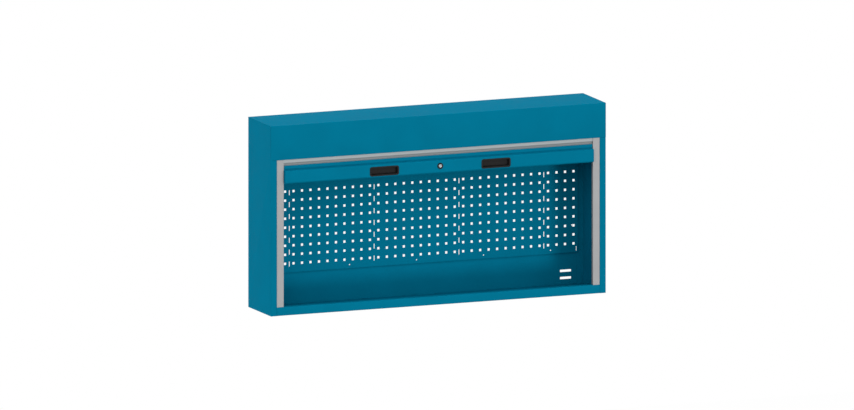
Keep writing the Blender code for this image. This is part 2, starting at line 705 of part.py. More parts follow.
def bar_shell(carriage):
    """Folded front of the closing bar: flange, groove, ledge, face, chamfer, base and rear lip."""
    path = [
        (BAR_FLANGE_FRONT, BAR_TOP),
        (BAR_FLANGE_FRONT, BAR_GROOVE_TOP),
        (BAR_GROOVE_BACK, BAR_GROOVE_TOP),
        (BAR_GROOVE_BACK, BAR_LEDGE_TOP),
        (BAR_FACE_FRONT, BAR_FACE_TOP),
        (BAR_FACE_FRONT, BAR_FACE_BASE),
        (BAR_FACE_FRONT + BAR_CHAMFER_DEPTH, 0),
        (BAR_BACK_DEPTH, 0),
        (BAR_BACK_DEPTH, BAR_REAR_LIP),
    ]
    solid = prism(sheet_outline(path, BAR_SHEET), "X", -SHELL_HALF_WIDTH, SHELL_HALF_WIDTH)
    shell = make_piece("closing_bar_shell", solid, PETROL_BLUE, carriage)
    through = (BAR_FACE_FRONT - CUT_OVERRUN, BAR_FACE_FRONT + BAR_SHEET + CUT_OVERRUN)
    width, height, corner = pull_body_size()
    openings = []
    for side in (-1, 1):
        centre = pull_centre(side)
        opening = rounded_rectangle(width + 2 * FIT_GAP, height + 2 * FIT_GAP, corner + FIT_GAP, centre)
        openings.append(prism(opening, "Y", *through))
    lock_hole = circle(LOCK_BODY_RADIUS + FIT_GAP, (FITTINGS_OFFSET, LOCK_HEIGHT_ON_BAR))
    openings.append(prism(lock_hole, "Y", *through))
    cut(shell, gather(openings))


def bar_rear_cover(carriage):
    """Folded back of the closing bar. Its upstand and the shell's flange hold the lowest slat."""
    path = [
        (COVER_BACK, BAR_SHEET + FIT_GAP),
        (COVER_BACK, COVER_TOP),
        (COVER_UPSTAND_BACK, COVER_TOP),
        (COVER_UPSTAND_BACK, COVER_TOP + COVER_UPSTAND),
    ]
    solid = prism(sheet_outline(path, BAR_SHEET), "X", -SHELL_HALF_WIDTH, SHELL_HALF_WIDTH)
    make_piece("closing_bar_rear_cover", solid, PETROL_BLUE, carriage)


def bar_end_cap(name, side, rod_height, carriage):
    """Plate that closes the bar's end, with the hole through which the lock rod comes out."""
    outline = [
        (BAR_GROOVE_BACK, BAR_LEDGE_TOP),
        (BAR_FACE_FRONT, BAR_FACE_TOP),
        (BAR_FACE_FRONT, BAR_FACE_BASE),
        (BAR_FACE_FRONT + BAR_CHAMFER_DEPTH, 0),
        (BAR_BACK_DEPTH, 0),
        (BAR_BACK_DEPTH, BAR_REAR_LIP),
        (COVER_BACK, BAR_REAR_LIP),
        (COVER_BACK, COVER_TOP),
        (COVER_UPSTAND_BACK, COVER_TOP),
    ]
    ends = (side * (SHELL_HALF_WIDTH + FIT_GAP), side * BAR_HALF_WIDTH)
    cap = make_piece(name, prism(outline, "X", *ends), PETROL_BLUE, carriage)
    hole = circle(ROD_RADIUS + ROD_HOLE_PLAY, (ROD_AXIS_DEPTH, rod_height), SMALL_ROUND_SIDES)
    hole_ends = (side * (SHELL_HALF_WIDTH - CUT_OVERRUN), side * (BAR_HALF_WIDTH + CUT_OVERRUN))
    cut(cap, prism(hole, "X", *hole_ends))


def guide_shoe(name, side, carriage):
    """Block on the bar's end that runs in the rail against its rear flange."""
    start = BAR_HALF_WIDTH + FIT_GAP
    end = GROOVE_OUTER - SHOE_END_PLAY
    outline = rectangle(SHOE_FRONT, SHOE_RISE, SHOE_BACK, SHOE_RISE + SHOE_HEIGHT)
    make_piece(name, prism(outline, "X", side * start, side * end), NYLON, carriage)


def pull_centre(side):
    """Middle of a pull on the bar's face, from the bar's middle and base."""
    return FITTINGS_OFFSET + side * PULL_SPACING / 2, PULL_HEIGHT_ON_BAR


def pull_body_size():
    """Width, height and corner radius of a pull behind its flange."""
    return PULL_WIDTH - 2 * PULL_RIM, PULL_HEIGHT - 2 * PULL_RIM, PULL_CORNER - PULL_RIM


def handle_cup(name, side, carriage):
    """Recessed pull: a flange on the bar's face around a pocket for the fingers."""
    width, height, corner = pull_body_size()
    front = BAR_FACE_FRONT - FIT_GAP - PULL_FLANGE
    seat = BAR_FACE_FRONT - FIT_GAP
    centre = pull_centre(side)
    flange = rounded_rectangle(PULL_WIDTH, PULL_HEIGHT, PULL_CORNER, centre)
    cup = make_piece(name, prism(flange, "Y", front, seat), PULL_BLACK, carriage)
    body = rounded_rectangle(width, height, corner, centre)
    grow(cup, prism(body, "Y", seat - PULL_FLANGE / 2, seat + PULL_DEPTH))
    pocket_size = (width - 2 * PULL_WALL, height - 2 * PULL_WALL, corner - PULL_WALL)
    pocket = rounded_rectangle(*pocket_size, centre)
    cut(cup, prism(pocket, "Y", front - CUT_OVERRUN, seat + PULL_DEPTH - PULL_WALL))


def lock_housing(lock_axis):
    """Cylinder housing: a ring on the bar's face and a bored body through it."""
    ring = prism(circle(LOCK_RING_RADIUS), "Y", LOCK_FRONT - LOCK_RING_THICKNESS, LOCK_FRONT)
    housing = make_piece("lock_housing", ring, NYLON, lock_axis)
    body_start = LOCK_FRONT - LOCK_RING_THICKNESS / 2
    body_end = LOCK_FRONT + LOCK_BODY_DEPTH
    grow(housing, prism(circle(LOCK_BODY_RADIUS), "Y", body_start, body_end))
    bore = circle(LOCK_BARREL_RADIUS + FIT_GAP)
    bore_ends = (LOCK_FRONT - LOCK_RING_THICKNESS - CUT_OVERRUN, body_end + CUT_OVERRUN)
    cut(housing, prism(bore, "Y", *bore_ends))
    shade_round(housing)


def lock_nut(lock_axis):
    """Nut that pulls the housing against the bar's face from inside."""
    start = BAR_FACE_FRONT + BAR_SHEET + FIT_GAP
    end = start + LOCK_NUT_THICKNESS
    hexagon_sides = 6
    nut = make_piece(
        "lock_nut", prism(circle(LOCK_NUT_RADIUS, sides=hexagon_sides), "Y", start, end), ZINC_PLATED, lock_axis
    )
    bore = circle(LOCK_BODY_RADIUS + FIT_GAP)
    cut(nut, prism(bore, "Y", start - CUT_OVERRUN, end + CUT_OVERRUN))


def lock_barrel(lock_axis):
    """Key barrel with its keyway in front and a square tail behind."""
    front = LOCK_FRONT - LOCK_RING_THICKNESS - LOCK_BARREL_PROUD
    back = LOCK_FRONT + LOCK_BODY_DEPTH + FIT_GAP
    barrel = make_piece("lock_barrel", prism(circle(LOCK_BARREL_RADIUS), "Y", front, back), CHROMED, lock_axis)
    half = LOCK_TAIL_SIZE / 2
    tail = rectangle(-half, -half, half, half)
    grow(barrel, prism(tail, "Y", back - LOCK_TAIL_LENGTH, back + LOCK_TAIL_LENGTH))
    keyway = rectangle(-KEYWAY_WIDTH / 2, -KEYWAY_HEIGHT / 2, KEYWAY_WIDTH / 2, KEYWAY_HEIGHT / 2)
    cut(barrel, prism(keyway, "Y", front - CUT_OVERRUN, front + KEYWAY_DEPTH))
    shade_round(barrel)


def cam_front():
    """Depth of the cam's front face: just behind the housing and the barrel's shoulder."""
    return LOCK_FRONT + LOCK_BODY_DEPTH + 2 * FIT_GAP


def lock_cam(lock_axis):
    """Two-armed cam on the barrel's tail, with a driving pin at the end of each arm."""
    front = cam_front()
    back = front + CAM_THICKNESS
    length = 2 * CAM_THROW + CAM_WIDTH
    plate = rounded_rectangle(CAM_WIDTH, length, CAM_WIDTH / 2)
    cam = make_piece("lock_cam", prism(plate, "Y", front, back), ZINC_PLATED, lock_axis)
    half = LOCK_TAIL_SIZE / 2 + FIT_GAP
    cut(cam, prism(rectangle(-half, -half, half, half), "Y", front - CUT_OVERRUN, back + CUT_OVERRUN))
    for side in (-1, 1):
        pin = circle(CAM_PIN_RADIUS, (0, side * CAM_THROW), SMALL_ROUND_SIDES)
        grow(cam, prism(pin, "Y", front + CAM_THICKNESS / 2, back + CAM_PIN_LENGTH))


def fork_reach():
    """Half the width of a rod's fork: the pin leads the rod most at mid turn."""
    quarter = math.pi / 2
    widest = math.acos(1 / quarter)
    lead_share = math.sin(widest) - widest / quarter
    return CAM_THROW * lead_share + CAM_PIN_RADIUS + FORK_PLAY


def lock_rod(name, side, lock_axis):
    """Round rod from the cam to the bar's end, with a fork over one of the cam's pins."""
    front = ROD_AXIS_DEPTH - FORK_THICKNESS / 2
    back = ROD_AXIS_DEPTH + FORK_THICKNESS / 2
    slot = fork_reach()
    tine = slot + FORK_WALL
    crown = CAM_THROW + CAM_PIN_RADIUS + FORK_PLAY
    outline = [
        (tine, FORK_MIDDLE_GAP),
        (tine, crown + FORK_WALL),
        (-tine, crown + FORK_WALL),
        (-tine, FORK_MIDDLE_GAP),
        (-slot, FORK_MIDDLE_GAP),
        (-slot, crown),
        (slot, crown),
        (slot, FORK_MIDDLE_GAP),
    ]
    turned = [(side * x, side * z) for x, z in outline]
    rod = make_piece(name, prism(turned, "Y", front, back), ZINC_PLATED, lock_axis)
    shank = circle(ROD_RADIUS, (ROD_AXIS_DEPTH, side * ROD_OFFSET), SMALL_ROUND_SIDES)
    start = side * (slot + FORK_WALL / 2)
    tip = side * (BAR_HALF_WIDTH - ROD_TIP_INSET) - FITTINGS_OFFSET
    grow(rod, prism(shank, "X", start, tip))
    shade_round(rod)


def rod_guide(name, side, rod_height, carriage):
    """Bored block on the rear cover that keeps a lock rod straight."""
    middle = side * (HALF_WIDTH - ROD_GUIDE_INSET)
    ends = (middle - ROD_GUIDE_LENGTH / 2, middle + ROD_GUIDE_LENGTH / 2)
    reach = ROD_RADIUS + ROD_GUIDE_WALL
    back = COVER_BACK - BAR_SHEET - FIT_GAP
    outline = rectangle(ROD_AXIS_DEPTH - reach, rod_height - reach, back, rod_height + reach)
    guide = make_piece(name, prism(outline, "X", *ends), NYLON, carriage)
    bore = circle(ROD_RADIUS + ROD_HOLE_PLAY, (ROD_AXIS_DEPTH, rod_height), SMALL_ROUND_SIDES)
    cut(guide, prism(bore, "X", ends[0] - CUT_OVERRUN, ends[1] + CUT_OVERRUN))


def build_carcase(datum):
    side_panel("side_panel_left", -1, datum)
    side_panel("side_panel_right", 1, datum)
    hood_cover(datum)
    bottom_tray(datum)
    rear_panel(datum)
    hanging_rail(datum)
    hood_soffit(datum)
    perforated_panel(datum)
    guide_rail("guide_rail_left", -1, datum)
    guide_rail("guide_rail_right", 1, datum)
    strike_plate("strike_plate_left", -1, LEFT_ROD_HEIGHT, datum)
    strike_plate("strike_plate_right", 1, RIGHT_ROD_HEIGHT, datum)
    stop_rubber("stop_rubber_left", -1, datum)
    stop_rubber("stop_rubber_right", 1, datum)


def build_roller(datum):
    roller_axis = empty("roller_axis", (0, ROLLER_DEPTH, ROLLER_HEIGHT), datum)
    roller_bracket("roller_bracket_left", -1, roller_axis)
    roller_bracket("roller_bracket_right", 1, roller_axis)
    spring_axle(roller_axis)
    roller_tube(roller_axis)
    roller_end_plug("roller_end_plug_left", -1, roller_axis)
    roller_end_plug("roller_end_plug_right", 1, roller_axis)
    torsion_spring(roller_axis)


def build_closing_bar(datum):
    carriage = empty("closing_bar_carriage", (0, 0, BAR_BASE), datum)
    bar_shell(carriage)
    bar_rear_cover(carriage)
    bar_end_cap("bar_end_cap_left", -1, LEFT_ROD_HEIGHT, carriage)
    bar_end_cap("bar_end_cap_right", 1, RIGHT_ROD_HEIGHT, carriage)
    guide_shoe("guide_shoe_left", -1, carriage)
    guide_shoe("guide_shoe_right", 1, carriage)
    handle_cup("handle_cup_left", -1, carriage)
    handle_cup("handle_cup_right", 1, carriage)
    lock_axis = empty("lock_axis", (FITTINGS_OFFSET, 0, LOCK_HEIGHT_ON_BAR), carriage)
    lock_housing(lock_axis)
    lock_nut(lock_axis)
    lock_barrel(lock_axis)
    lock_cam(lock_axis)
    lock_rod("lock_rod_left", -1, lock_axis)
    lock_rod("lock_rod_right", 1, lock_axis)
    rod_guide("rod_guide_left", -1, LEFT_ROD_HEIGHT, carriage)
    rod_guide("rod_guide_right", 1, RIGHT_ROD_HEIGHT, carriage)


def main():
    clear_scene()
    datum = empty("datum", (0, -CABINET_DEPTH, -HANGING_HEIGHT))
    build_carcase(datum)
    build_roller(datum)
    tambour_slats(datum)
    build_closing_bar(datum)


main()
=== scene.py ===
"""Looks for a wall-mounted tool cabinet whose tambour door stands open.

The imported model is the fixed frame. Folded sheets, slats, pulls and the lock are modelled again with
the bends, rims and edges that the real pieces have, and every other piece keeps its solid and gets
its finish. Lengths are metres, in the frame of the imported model.
"""

from __future__ import annotations

import logging
import math
from abc import ABC, abstractmethod
from dataclasses import dataclass, field
from enum import Enum
from typing import Callable, Sequence

import bmesh
import bpy
from mathutils import Matrix, Vector


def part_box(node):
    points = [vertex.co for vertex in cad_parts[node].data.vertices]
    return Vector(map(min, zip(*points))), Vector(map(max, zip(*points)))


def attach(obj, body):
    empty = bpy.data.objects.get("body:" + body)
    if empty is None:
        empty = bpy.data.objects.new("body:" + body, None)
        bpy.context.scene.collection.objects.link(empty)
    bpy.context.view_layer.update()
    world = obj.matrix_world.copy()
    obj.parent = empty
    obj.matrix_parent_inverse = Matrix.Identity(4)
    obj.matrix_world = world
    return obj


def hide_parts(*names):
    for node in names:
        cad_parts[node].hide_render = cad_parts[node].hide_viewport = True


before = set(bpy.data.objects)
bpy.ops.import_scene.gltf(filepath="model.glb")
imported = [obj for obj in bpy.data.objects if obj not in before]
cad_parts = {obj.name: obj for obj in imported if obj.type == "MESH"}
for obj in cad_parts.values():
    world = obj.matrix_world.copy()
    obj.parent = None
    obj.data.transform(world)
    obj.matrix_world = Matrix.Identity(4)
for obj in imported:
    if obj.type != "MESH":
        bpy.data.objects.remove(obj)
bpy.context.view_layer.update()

LOG = logging.getLogger("tambour_cabinet")
MM = 0.001
SMOOTH_ANGLE = math.radians(32.0)
SAME_PLACE = 0.02 * MM
PAST_THE_SHEET = 5 * MM
# Per-point depth in a slat's groove, which drives the painted shade there.
GROOVE_DEPTH_LAYER = "groove_depth"
# Cosine past which a face or an edge counts as lying along an axis.
ALIGNED = 0.99
# Faces that stand for one bend of a sheet, and for the circle of a turned piece.
BEND_STEPS = 5
TURNED_SIDES = 96
# Octaves of a noise, and the values that most of it lies between.
FEW_OCTAVES, SOME_OCTAVES, MANY_OCTAVES = 2.0, 3.0, 4.0
NOISE_MIDDLE = (0.3, 0.7)

Piece = bpy.types.Object
Node, Tree, Socket = bpy.types.Node, bpy.types.NodeTree, bpy.types.NodeSocket
Part = bmesh.types.BMEdge | bmesh.types.BMFace
Point = tuple[float, float]


class Side(Enum):
    """The left or right half of the cabinet, as the sign of x."""

    LEFT = -1
    RIGHT = 1

    def node(self, stem: str) -> str:
        """Name of this side's copy of a piece."""
        return f"{stem}_{self.name.lower()}"


class Run(Enum):
    """The way that a folded sheet runs, and so the plane that its profile lies in."""

    ALONG_X = (0, 1, 2)
    ALONG_Z = (2, 0, 1)

    def point(self, place: Point, along: float) -> Vector:
        """The point in space of a profile's point.

        Args:
            place: the point in the profile, (y, z) along X and (x, y) along Z.
            along: how far along the run it lies.

        Returns:
            The point in the frame.
        """
        point = Vector((0.0, 0.0, 0.0))
        point[self.value[0]] = along
        point[self.value[1]], point[self.value[2]] = place
        return point

    def place(self, point: Vector) -> Vector:
        """A point's place in the profile."""
        return Vector((point[self.value[1]], point[self.value[2]]))


class Facing(Enum):
    """The way that a face looks, as the sign of y."""

    FRONT = -1
    BACK = 1

    def shown_by(self, face: Part) -> bool:
        """Whether a face looks this way."""
        return face.normal.y * self.value > ALIGNED


class Pick(Enum):
    """What is picked in edit mode, by the name of its select mode."""

    EDGES = "EDGE"
    FACES = "FACE"

    def parts(self, mesh: bmesh.types.BMesh) -> Sequence[Part]:
        """A mesh's edges or faces."""
        return mesh.edges if self is Pick.EDGES else mesh.faces


def deselect_all() -> None:
    """Leave nothing selected, the CAD nodes included."""
    bpy.ops.object.select_all(action="DESELECT")


def make_active(piece: Piece) -> None:
    """Select one piece alone and make it the active one.

    Args:
        piece: the piece.
    """
    deselect_all()
    piece.select_set(True)
    bpy.context.view_layer.objects.active = piece


def name_new_piece(name: str) -> Piece:
    """Name the primitive just added and put its place and turn into its mesh.

    Args:
        name: the piece's name.

    Returns:
        The piece, alone selected.
    """
    piece = bpy.context.active_object
    piece.name = name
    piece.data.name = name
    make_active(piece)
    bpy.ops.object.transform_apply(location=True, rotation=True, scale=True)
    return piece


def edit(piece: Piece, pick: Pick = Pick.EDGES) -> None:
    """Open a piece in edit mode, ready to select edges or faces.

    Args:
        piece: the piece to open.
        pick: which of the two will be picked.
    """
    make_active(piece)
    bpy.ops.object.mode_set(mode="EDIT")
    bpy.ops.mesh.select_mode(type=pick.value)


def select(wanted: Callable[[Part], bool], pick: Pick = Pick.EDGES) -> None:
    """Select parts of the mesh in edit mode, and nothing else.

    Args:
        wanted: tells whether a part is wanted.
        pick: the parts to choose from.
    """
    bpy.ops.mesh.select_all(action="DESELECT")
    mesh = bmesh.from_edit_mesh(bpy.context.edit_object.data)
    for part in filter(wanted, pick.parts(mesh)):
        part.select_set(True)
    bmesh.update_edit_mesh(bpy.context.edit_object.data)


def leave_edit() -> None:
    """Go back to object mode."""
    bpy.ops.object.mode_set(mode="OBJECT")


def apply_modifier(piece: Piece, kind: str, settings: dict[str, object]) -> None:
    """Add a modifier to a piece and apply it at once.

    Args:
        piece: the piece to change.
        kind: Blender's name for the modifier's type.
        settings: the modifier's settings by name.
    """
    make_active(piece)
    modifier = piece.modifiers.new(kind.lower(), kind)
    for setting, value in settings.items():
        setattr(modifier, setting, value)
    bpy.ops.object.modifier_apply(modifier=modifier.name)


def cut(piece: Piece, *cutters: Piece) -> None:
    """Take the cutters' shapes out of a piece and throw the cutters away.

    Args:
        piece: the piece that is cut.
        cutters: the shapes that are taken out.
    """
    for cutter in cutters:
        apply_modifier(piece, "BOOLEAN", {"operation": "DIFFERENCE", "object": cutter})
        bpy.data.objects.remove(cutter, do_unlink=True)


def join_solid(piece: Piece, other: Piece) -> None:
    """Weld another solid to a piece, so that both are one body."""
    apply_modifier(piece, "BOOLEAN", {"operation": "UNION", "object": other})
    bpy.data.objects.remove(other, do_unlink=True)


def ease_edges(piece: Piece, width: float, steps: int = 2) -> None:
    """Round a piece's sharp edges by a small bevel."""
    settings = {"width": width, "segments": steps, "limit_method": "ANGLE", "angle_limit": SMOOTH_ANGLE}
    apply_modifier(piece, "BEVEL", {**settings, "use_clamp_overlap": True})


def shade(piece: Piece) -> None:
    """Shade a piece smooth, apart from its sharp edges."""
    make_active(piece)
    bpy.ops.object.shade_smooth_by_angle(angle=SMOOTH_ANGLE)


def block(name: str, low: Vector, high: Vector) -> Piece:
    """A block between two corners.

    Args:
        name: the block's name.
        low: its lowest corner.
        high: its highest corner.

    Returns:
        The block.
    """
    deselect_all()
    bpy.ops.mesh.primitive_cube_add(size=1, location=(low + high) / 2)
    bpy.context.active_object.scale = high - low
    return name_new_piece(name)


def round_bar(name: str, centre: Point, radius: float, ends: Point, sides: int = 64) -> Piece:
    """A round bar whose axis runs from front to back.

    Args:
        name: the bar's name.
        centre: its axis, as (x, z).
        radius: its radius.
        ends: its front and back y.
        sides: how many sides stand for the circle.

    Returns:
        The bar.
    """
    deselect_all()
    bpy.ops.mesh.primitive_cylinder_add(
        vertices=sides,
        radius=radius,
        depth=ends[1] - ends[0],
        location=(centre[0], (ends[0] + ends[1]) / 2, centre[1]),
        rotation=(math.pi / 2, 0, 0),
    )
    return name_new_piece(name)


def round_upright_corners(piece: Piece, radius: float, steps: int = 8) -> None:
    """Round the four edges of a block that run from front to back.

    Args:
        piece: the block.
        radius: the corners' radius.
        steps: how many faces stand for each corner.
    """

    def runs_back(edge: Part) -> bool:
        """Whether an edge runs from front to back."""
        return abs((edge.verts[0].co - edge.verts[1].co).normalized().y) > ALIGNED

    edit(piece)
    select(runs_back)
    bpy.ops.mesh.bevel(offset=radius, segments=steps, affect="EDGES")
    leave_edit()


def step_in(facing: Facing, margin: float, depth: float) -> None:
    """Shape, in edit mode, a boss or a pocket on the faces that look one way.

    Args:
        facing: the way that the faces look.
        margin: how much of them stays all round.
        depth: how far back the rest moves.
    """
    select(facing.shown_by, Pick.FACES)
    bpy.ops.mesh.inset(thickness=margin)
    bpy.ops.mesh.extrude_region_move(TRANSFORM_OT_translate={"value": (0, depth, 0)})


@dataclass
class FoldedSheet:
    """A sheet folded along a path, with its bends rounded.

    Attributes:
        name: the sheet's name.
        path: the profile's corners, on one face of the sheet. The wall lies to the left of them.
        ends: where the sheet starts and ends along its run.
        wall: the sheet's thickness.
        bend: the radius inside a bend.
        run: the way that the sheet runs.
    """

    name: str
    path: Sequence[Point]
    ends: Point
    wall: float
    bend: float
    run: Run = Run.ALONG_X

    def strip(self) -> Piece:
        """Fold the sheet as an open surface, not yet thickened.

        Returns:
            The open sheet.
        """
        place = self.run.place
        corners = [self.run.point(corner, 0.0) for corner in self.path]
        along = self.run.point((0.0, 0.0), 1.0)
        first = corners[1] - corners[0]
        turn = Matrix((along, first.normalized(), along.cross(first.normalized()))).transposed()
        middle = (corners[0] + corners[1]) / 2 + along * (self.ends[0] + self.ends[1]) / 2
        deselect_all()
        bpy.ops.mesh.primitive_plane_add(size=1, location=middle, rotation=turn.to_euler())
        bpy.context.active_object.scale = (self.ends[1] - self.ends[0], first.length, 1.0)
        strip = name_new_piece(self.name)
        edit(strip)

        def along_corner(corner: Vector) -> Callable[[Part], bool]:
            """A test of whether an edge runs along one corner of the profile."""
            spot = place(corner)
            return lambda edge: all((place(vert.co) - spot).length < SAME_PLACE for vert in edge.verts)

        select(along_corner(corners[1]))
        for here, there in zip(corners[1:], corners[2:]):
            bpy.ops.mesh.extrude_region_move(TRANSFORM_OT_translate={"value": there - here})
        for before, here, after in zip(corners, corners[1:], corners[2:]):
            came, goes = place(here - before), place(after - here)
            angle = math.atan2(came.x * goes.y - came.y * goes.x, came.dot(goes))
            radius = self.bend + (self.wall if angle > 0 else 0.0)
            select(along_corner(here))
            setback = radius * math.tan(abs(angle) / 2)
            bpy.ops.mesh.bevel(offset=setback, segments=BEND_STEPS, affect="EDGES")
        leave_edit()
        return strip

    def thicken(self, strip: Piece) -> Piece:
        """Give the open strip its wall, to the left of its path, and shade it.

        Args:
            strip: the open sheet.

        Returns:
            The same piece, now with its wall.
        """
        start = Vector(self.path[0])
        heading = (Vector(self.path[1]) - start).normalized()
        left = self.run.point((-heading.y, heading.x), 0.0)
        faces = strip.data.polygons
        nearest = min(faces, key=lambda face: (self.run.place(face.center) - start).length)
        offset = 1.0 if nearest.normal.dot(left) > 0 else -1.0
        settings = {"thickness": self.wall, "offset": offset, "use_even_offset": True}
        apply_modifier(strip, "SOLIDIFY", settings)
        edit(strip)
        bpy.ops.mesh.select_all(action="SELECT")
        bpy.ops.mesh.normals_make_consistent(inside=False)
        leave_edit()
        shade(strip)
        return strip

    def fold(self) -> Piece:
        """Fold the sheet and give it its wall."""
        return self.thicken(self.strip())


def on_side(path: Sequence[Point], side: Side) -> list[Point]:
    """A right-hand plan path, mirrored for the left side so that its wall still lies inside.

    Args:
        path: the right-hand path.
        side: the side wanted.

    Returns:
        The path for that side.
    """
    if side is Side.RIGHT:
        return list(path)
    return [(-x, y) for x, y in reversed(path)]


def linear(code: str) -> tuple[float, float, float, float]:
    """Turn an sRGB hex colour into linear light.

    Args:
        code: six hex digits after a hash sign.

    Returns:
        Linear red, green, blue and an alpha of 1.
    """
    channels = [int(code[start : start + 2], 16) / 255 for start in (1, 3, 5)]
    red, green, blue = (c / 12.92 if c <= 0.04045 else ((c + 0.055) / 1.055) ** 2.4 for c in channels)
    return red, green, blue, 1.0


def add_node(
    tree: Tree,
    kind: str,
    settings: dict[str, object] | None = None,
    inputs: dict[str | int, object] | None = None,
) -> Node:
    """Add a node with its settings, values and links.

    Args:
        tree: the tree that gets the node.
        kind: Blender's name for the node's type.
        settings: the node's own settings by name.
        inputs: a value, or an output socket to link, for each input.

    Returns:
        The node.
    """
    node = tree.nodes.new(kind)
    for setting, value in (settings or {}).items():
        setattr(node, setting, value)
    for key, value in (inputs or {}).items():
        if isinstance(value, Socket):
            tree.links.new(value, node.inputs[key])
        else:
            node.inputs[key].default_value = value
    return node


def empty_material(name: str) -> tuple[bpy.types.Material, Tree]:
    """A material with nodes in use and none in its tree.

    Args:
        name: the material's name.

    Returns:
        The material and its tree.
    """
    material = bpy.data.materials.new(name)
    material.use_nodes = True
    material.node_tree.nodes.clear()
    return material, material.node_tree


def noise_span(noise: Node, span: Point) -> dict[str, object]:
    """Inputs that stretch a noise's middle to a range of values.

    Args:
        noise: the noise's node.
        span: the lowest and the highest value.

    Returns:
        The inputs for a node that maps ranges.
    """
    low, high = NOISE_MIDDLE
    source = {"Value": noise.outputs["Fac"], "From Min": low, "From Max": high}
    return {**source, "To Min": span[0], "To Max": span[1]}


@dataclass(frozen=True)
class Finish(ABC):
    """What all finishes share: a colour whose tone drifts, an uneven roughness and a fine relief.

    Attributes:
        name: the finish's name.
        slot: the record's material slot.
        colour: the surface's sRGB hex colour.
        roughness: mean roughness.
        TONE_RANGE: brightness of the darkest and the lightest patch, as factors.
        DRIFT: how far the roughness strays from its mean.
    """

    TONE_RANGE = (0.965, 1.035)
    DRIFT = 0.05
    name: str
    slot: str
    colour: str
    roughness: float

    def material(self) -> bpy.types.Material:
        """Build the finish's material.

        Returns:
            The material.
        """
        material, tree = empty_material(self.name)
        self.lay(tree, add_node(tree, "ShaderNodeTexCoord").outputs["Object"])
        return material

    @abstractmethod
    def lay(self, tree: Tree, place: Socket) -> None:
        """Draw the finish in a material's tree, by where on the piece a point lies."""

    def join(
        self,
        tree: Tree,
        noises: tuple[Node, Node],
        relief: dict[str, object],
        film: dict[str, object],
        painted_shade_factor: Socket | float = 1.0,
    ) -> None:
        """Bring colour, roughness and relief together in one shader.

        Args:
            tree: the material's tree.
            noises: what the tone follows and what the roughness follows.
            relief: inputs of the relief's node.
            film: the shader's further inputs.
            painted_shade_factor: factor on the colour; below 1 it paints shade, and 1 leaves the colour as
                it is.
        """
        shift = add_node(tree, "ShaderNodeMapRange", inputs=noise_span(noises[0], self.TONE_RANGE))
        dimmed = {0: shift.outputs["Result"], 1: painted_shade_factor}
        tone = add_node(tree, "ShaderNodeMath", {"operation": "MULTIPLY"}, dimmed)
        tinted = {"Color": linear(self.colour), "Value": tone.outputs["Value"]}
        colour = add_node(tree, "ShaderNodeHueSaturation", inputs=tinted)
        span = noise_span(noises[1], (self.roughness - self.DRIFT, self.roughness + self.DRIFT))
        roughness = add_node(tree, "ShaderNodeMapRange", inputs=span)
        bump = add_node(tree, "ShaderNodeBump", inputs=relief)
        surface = {
            "Base Color": colour.outputs["Color"],
            "Roughness": roughness.outputs["Result"],
            "Normal": bump.outputs["Normal"],
        }
        shader = add_node(tree, "ShaderNodeBsdfPrincipled", inputs={**surface, **film})
        add_node(tree, "ShaderNodeOutputMaterial", inputs={"Surface": shader.outputs["BSDF"]})


@dataclass(frozen=True)
class StovedPaint(Finish):
    """Paint baked on sheet steel: a closed film with a soft sheen and the waviness called orange peel.

    Attributes:
        sheen_level: how much of a film's plain reflection is left, where 0.5 is all of it.
        peel: width of one wave of the film, in metres.
        relief: height of such a wave, in metres.
        streak: how many times longer than wide the tone's patches are, along the sheet's rolling.
        painted_groove_shade: share of its colour that the paint loses at the bottom of a groove, as painted
            shade for the groove's shadow.
        patch: width of one patch of tone, in metres.
        index: index of refraction.
    """

    sheen_level: float
    peel: float
    relief: float
    streak: float
    painted_groove_shade: float = 0.0
    patch: float = 110 * MM
    index: float = 1.5

    def lay(self, tree: Tree, place: Socket) -> None:
        """Draw the paint in a material's tree.

        Args:
            tree: the material's tree.
            place: where on the piece a point lies.
        """
        # Tone drifts by a few per cent over a hand's width, as film thickness does.
        along_x = {"Vector": place, "Scale": (1 / self.streak, 1.0, 1.0)}
        drawn = add_node(tree, "ShaderNodeMapping", inputs=along_x).outputs["Vector"]
        patches = {"Vector": drawn, "Scale": 1 / self.patch, "Detail": SOME_OCTAVES}
        tone = add_node(tree, "ShaderNodeTexNoise", inputs=patches)
        painted_shade_factor = 1.0
        # Painted shade: the colour darkens towards the bottom of a slat's groove, standing in for the
        # groove's shadow.
        if self.painted_groove_shade:
            depth = add_node(tree, "ShaderNodeAttribute", {"attribute_name": GROOVE_DEPTH_LAYER})
            painted_shade_span = {"Value": depth.outputs["Fac"], "To Min": 1.0, "To Max": 1.0 - self.painted_groove_shade}
            painted_shade_factor = add_node(tree, "ShaderNodeMapRange", inputs=painted_shade_span).outputs["Result"]
        # Orange peel is 1 to 2 mm wide on the real film. It is drawn coarser, or it would not show.
        waves = {"Vector": place, "Scale": 1 / self.peel, "Detail": FEW_OCTAVES}
        peel = add_node(tree, "ShaderNodeTexNoise", inputs=waves)
        relief = {"Height": peel.outputs["Fac"], "Strength": 1.0, "Distance": self.relief}
        film = {"Specular IOR Level": self.sheen_level, "IOR": self.index}
        self.join(tree, (tone, tone), relief, film, painted_shade_factor)


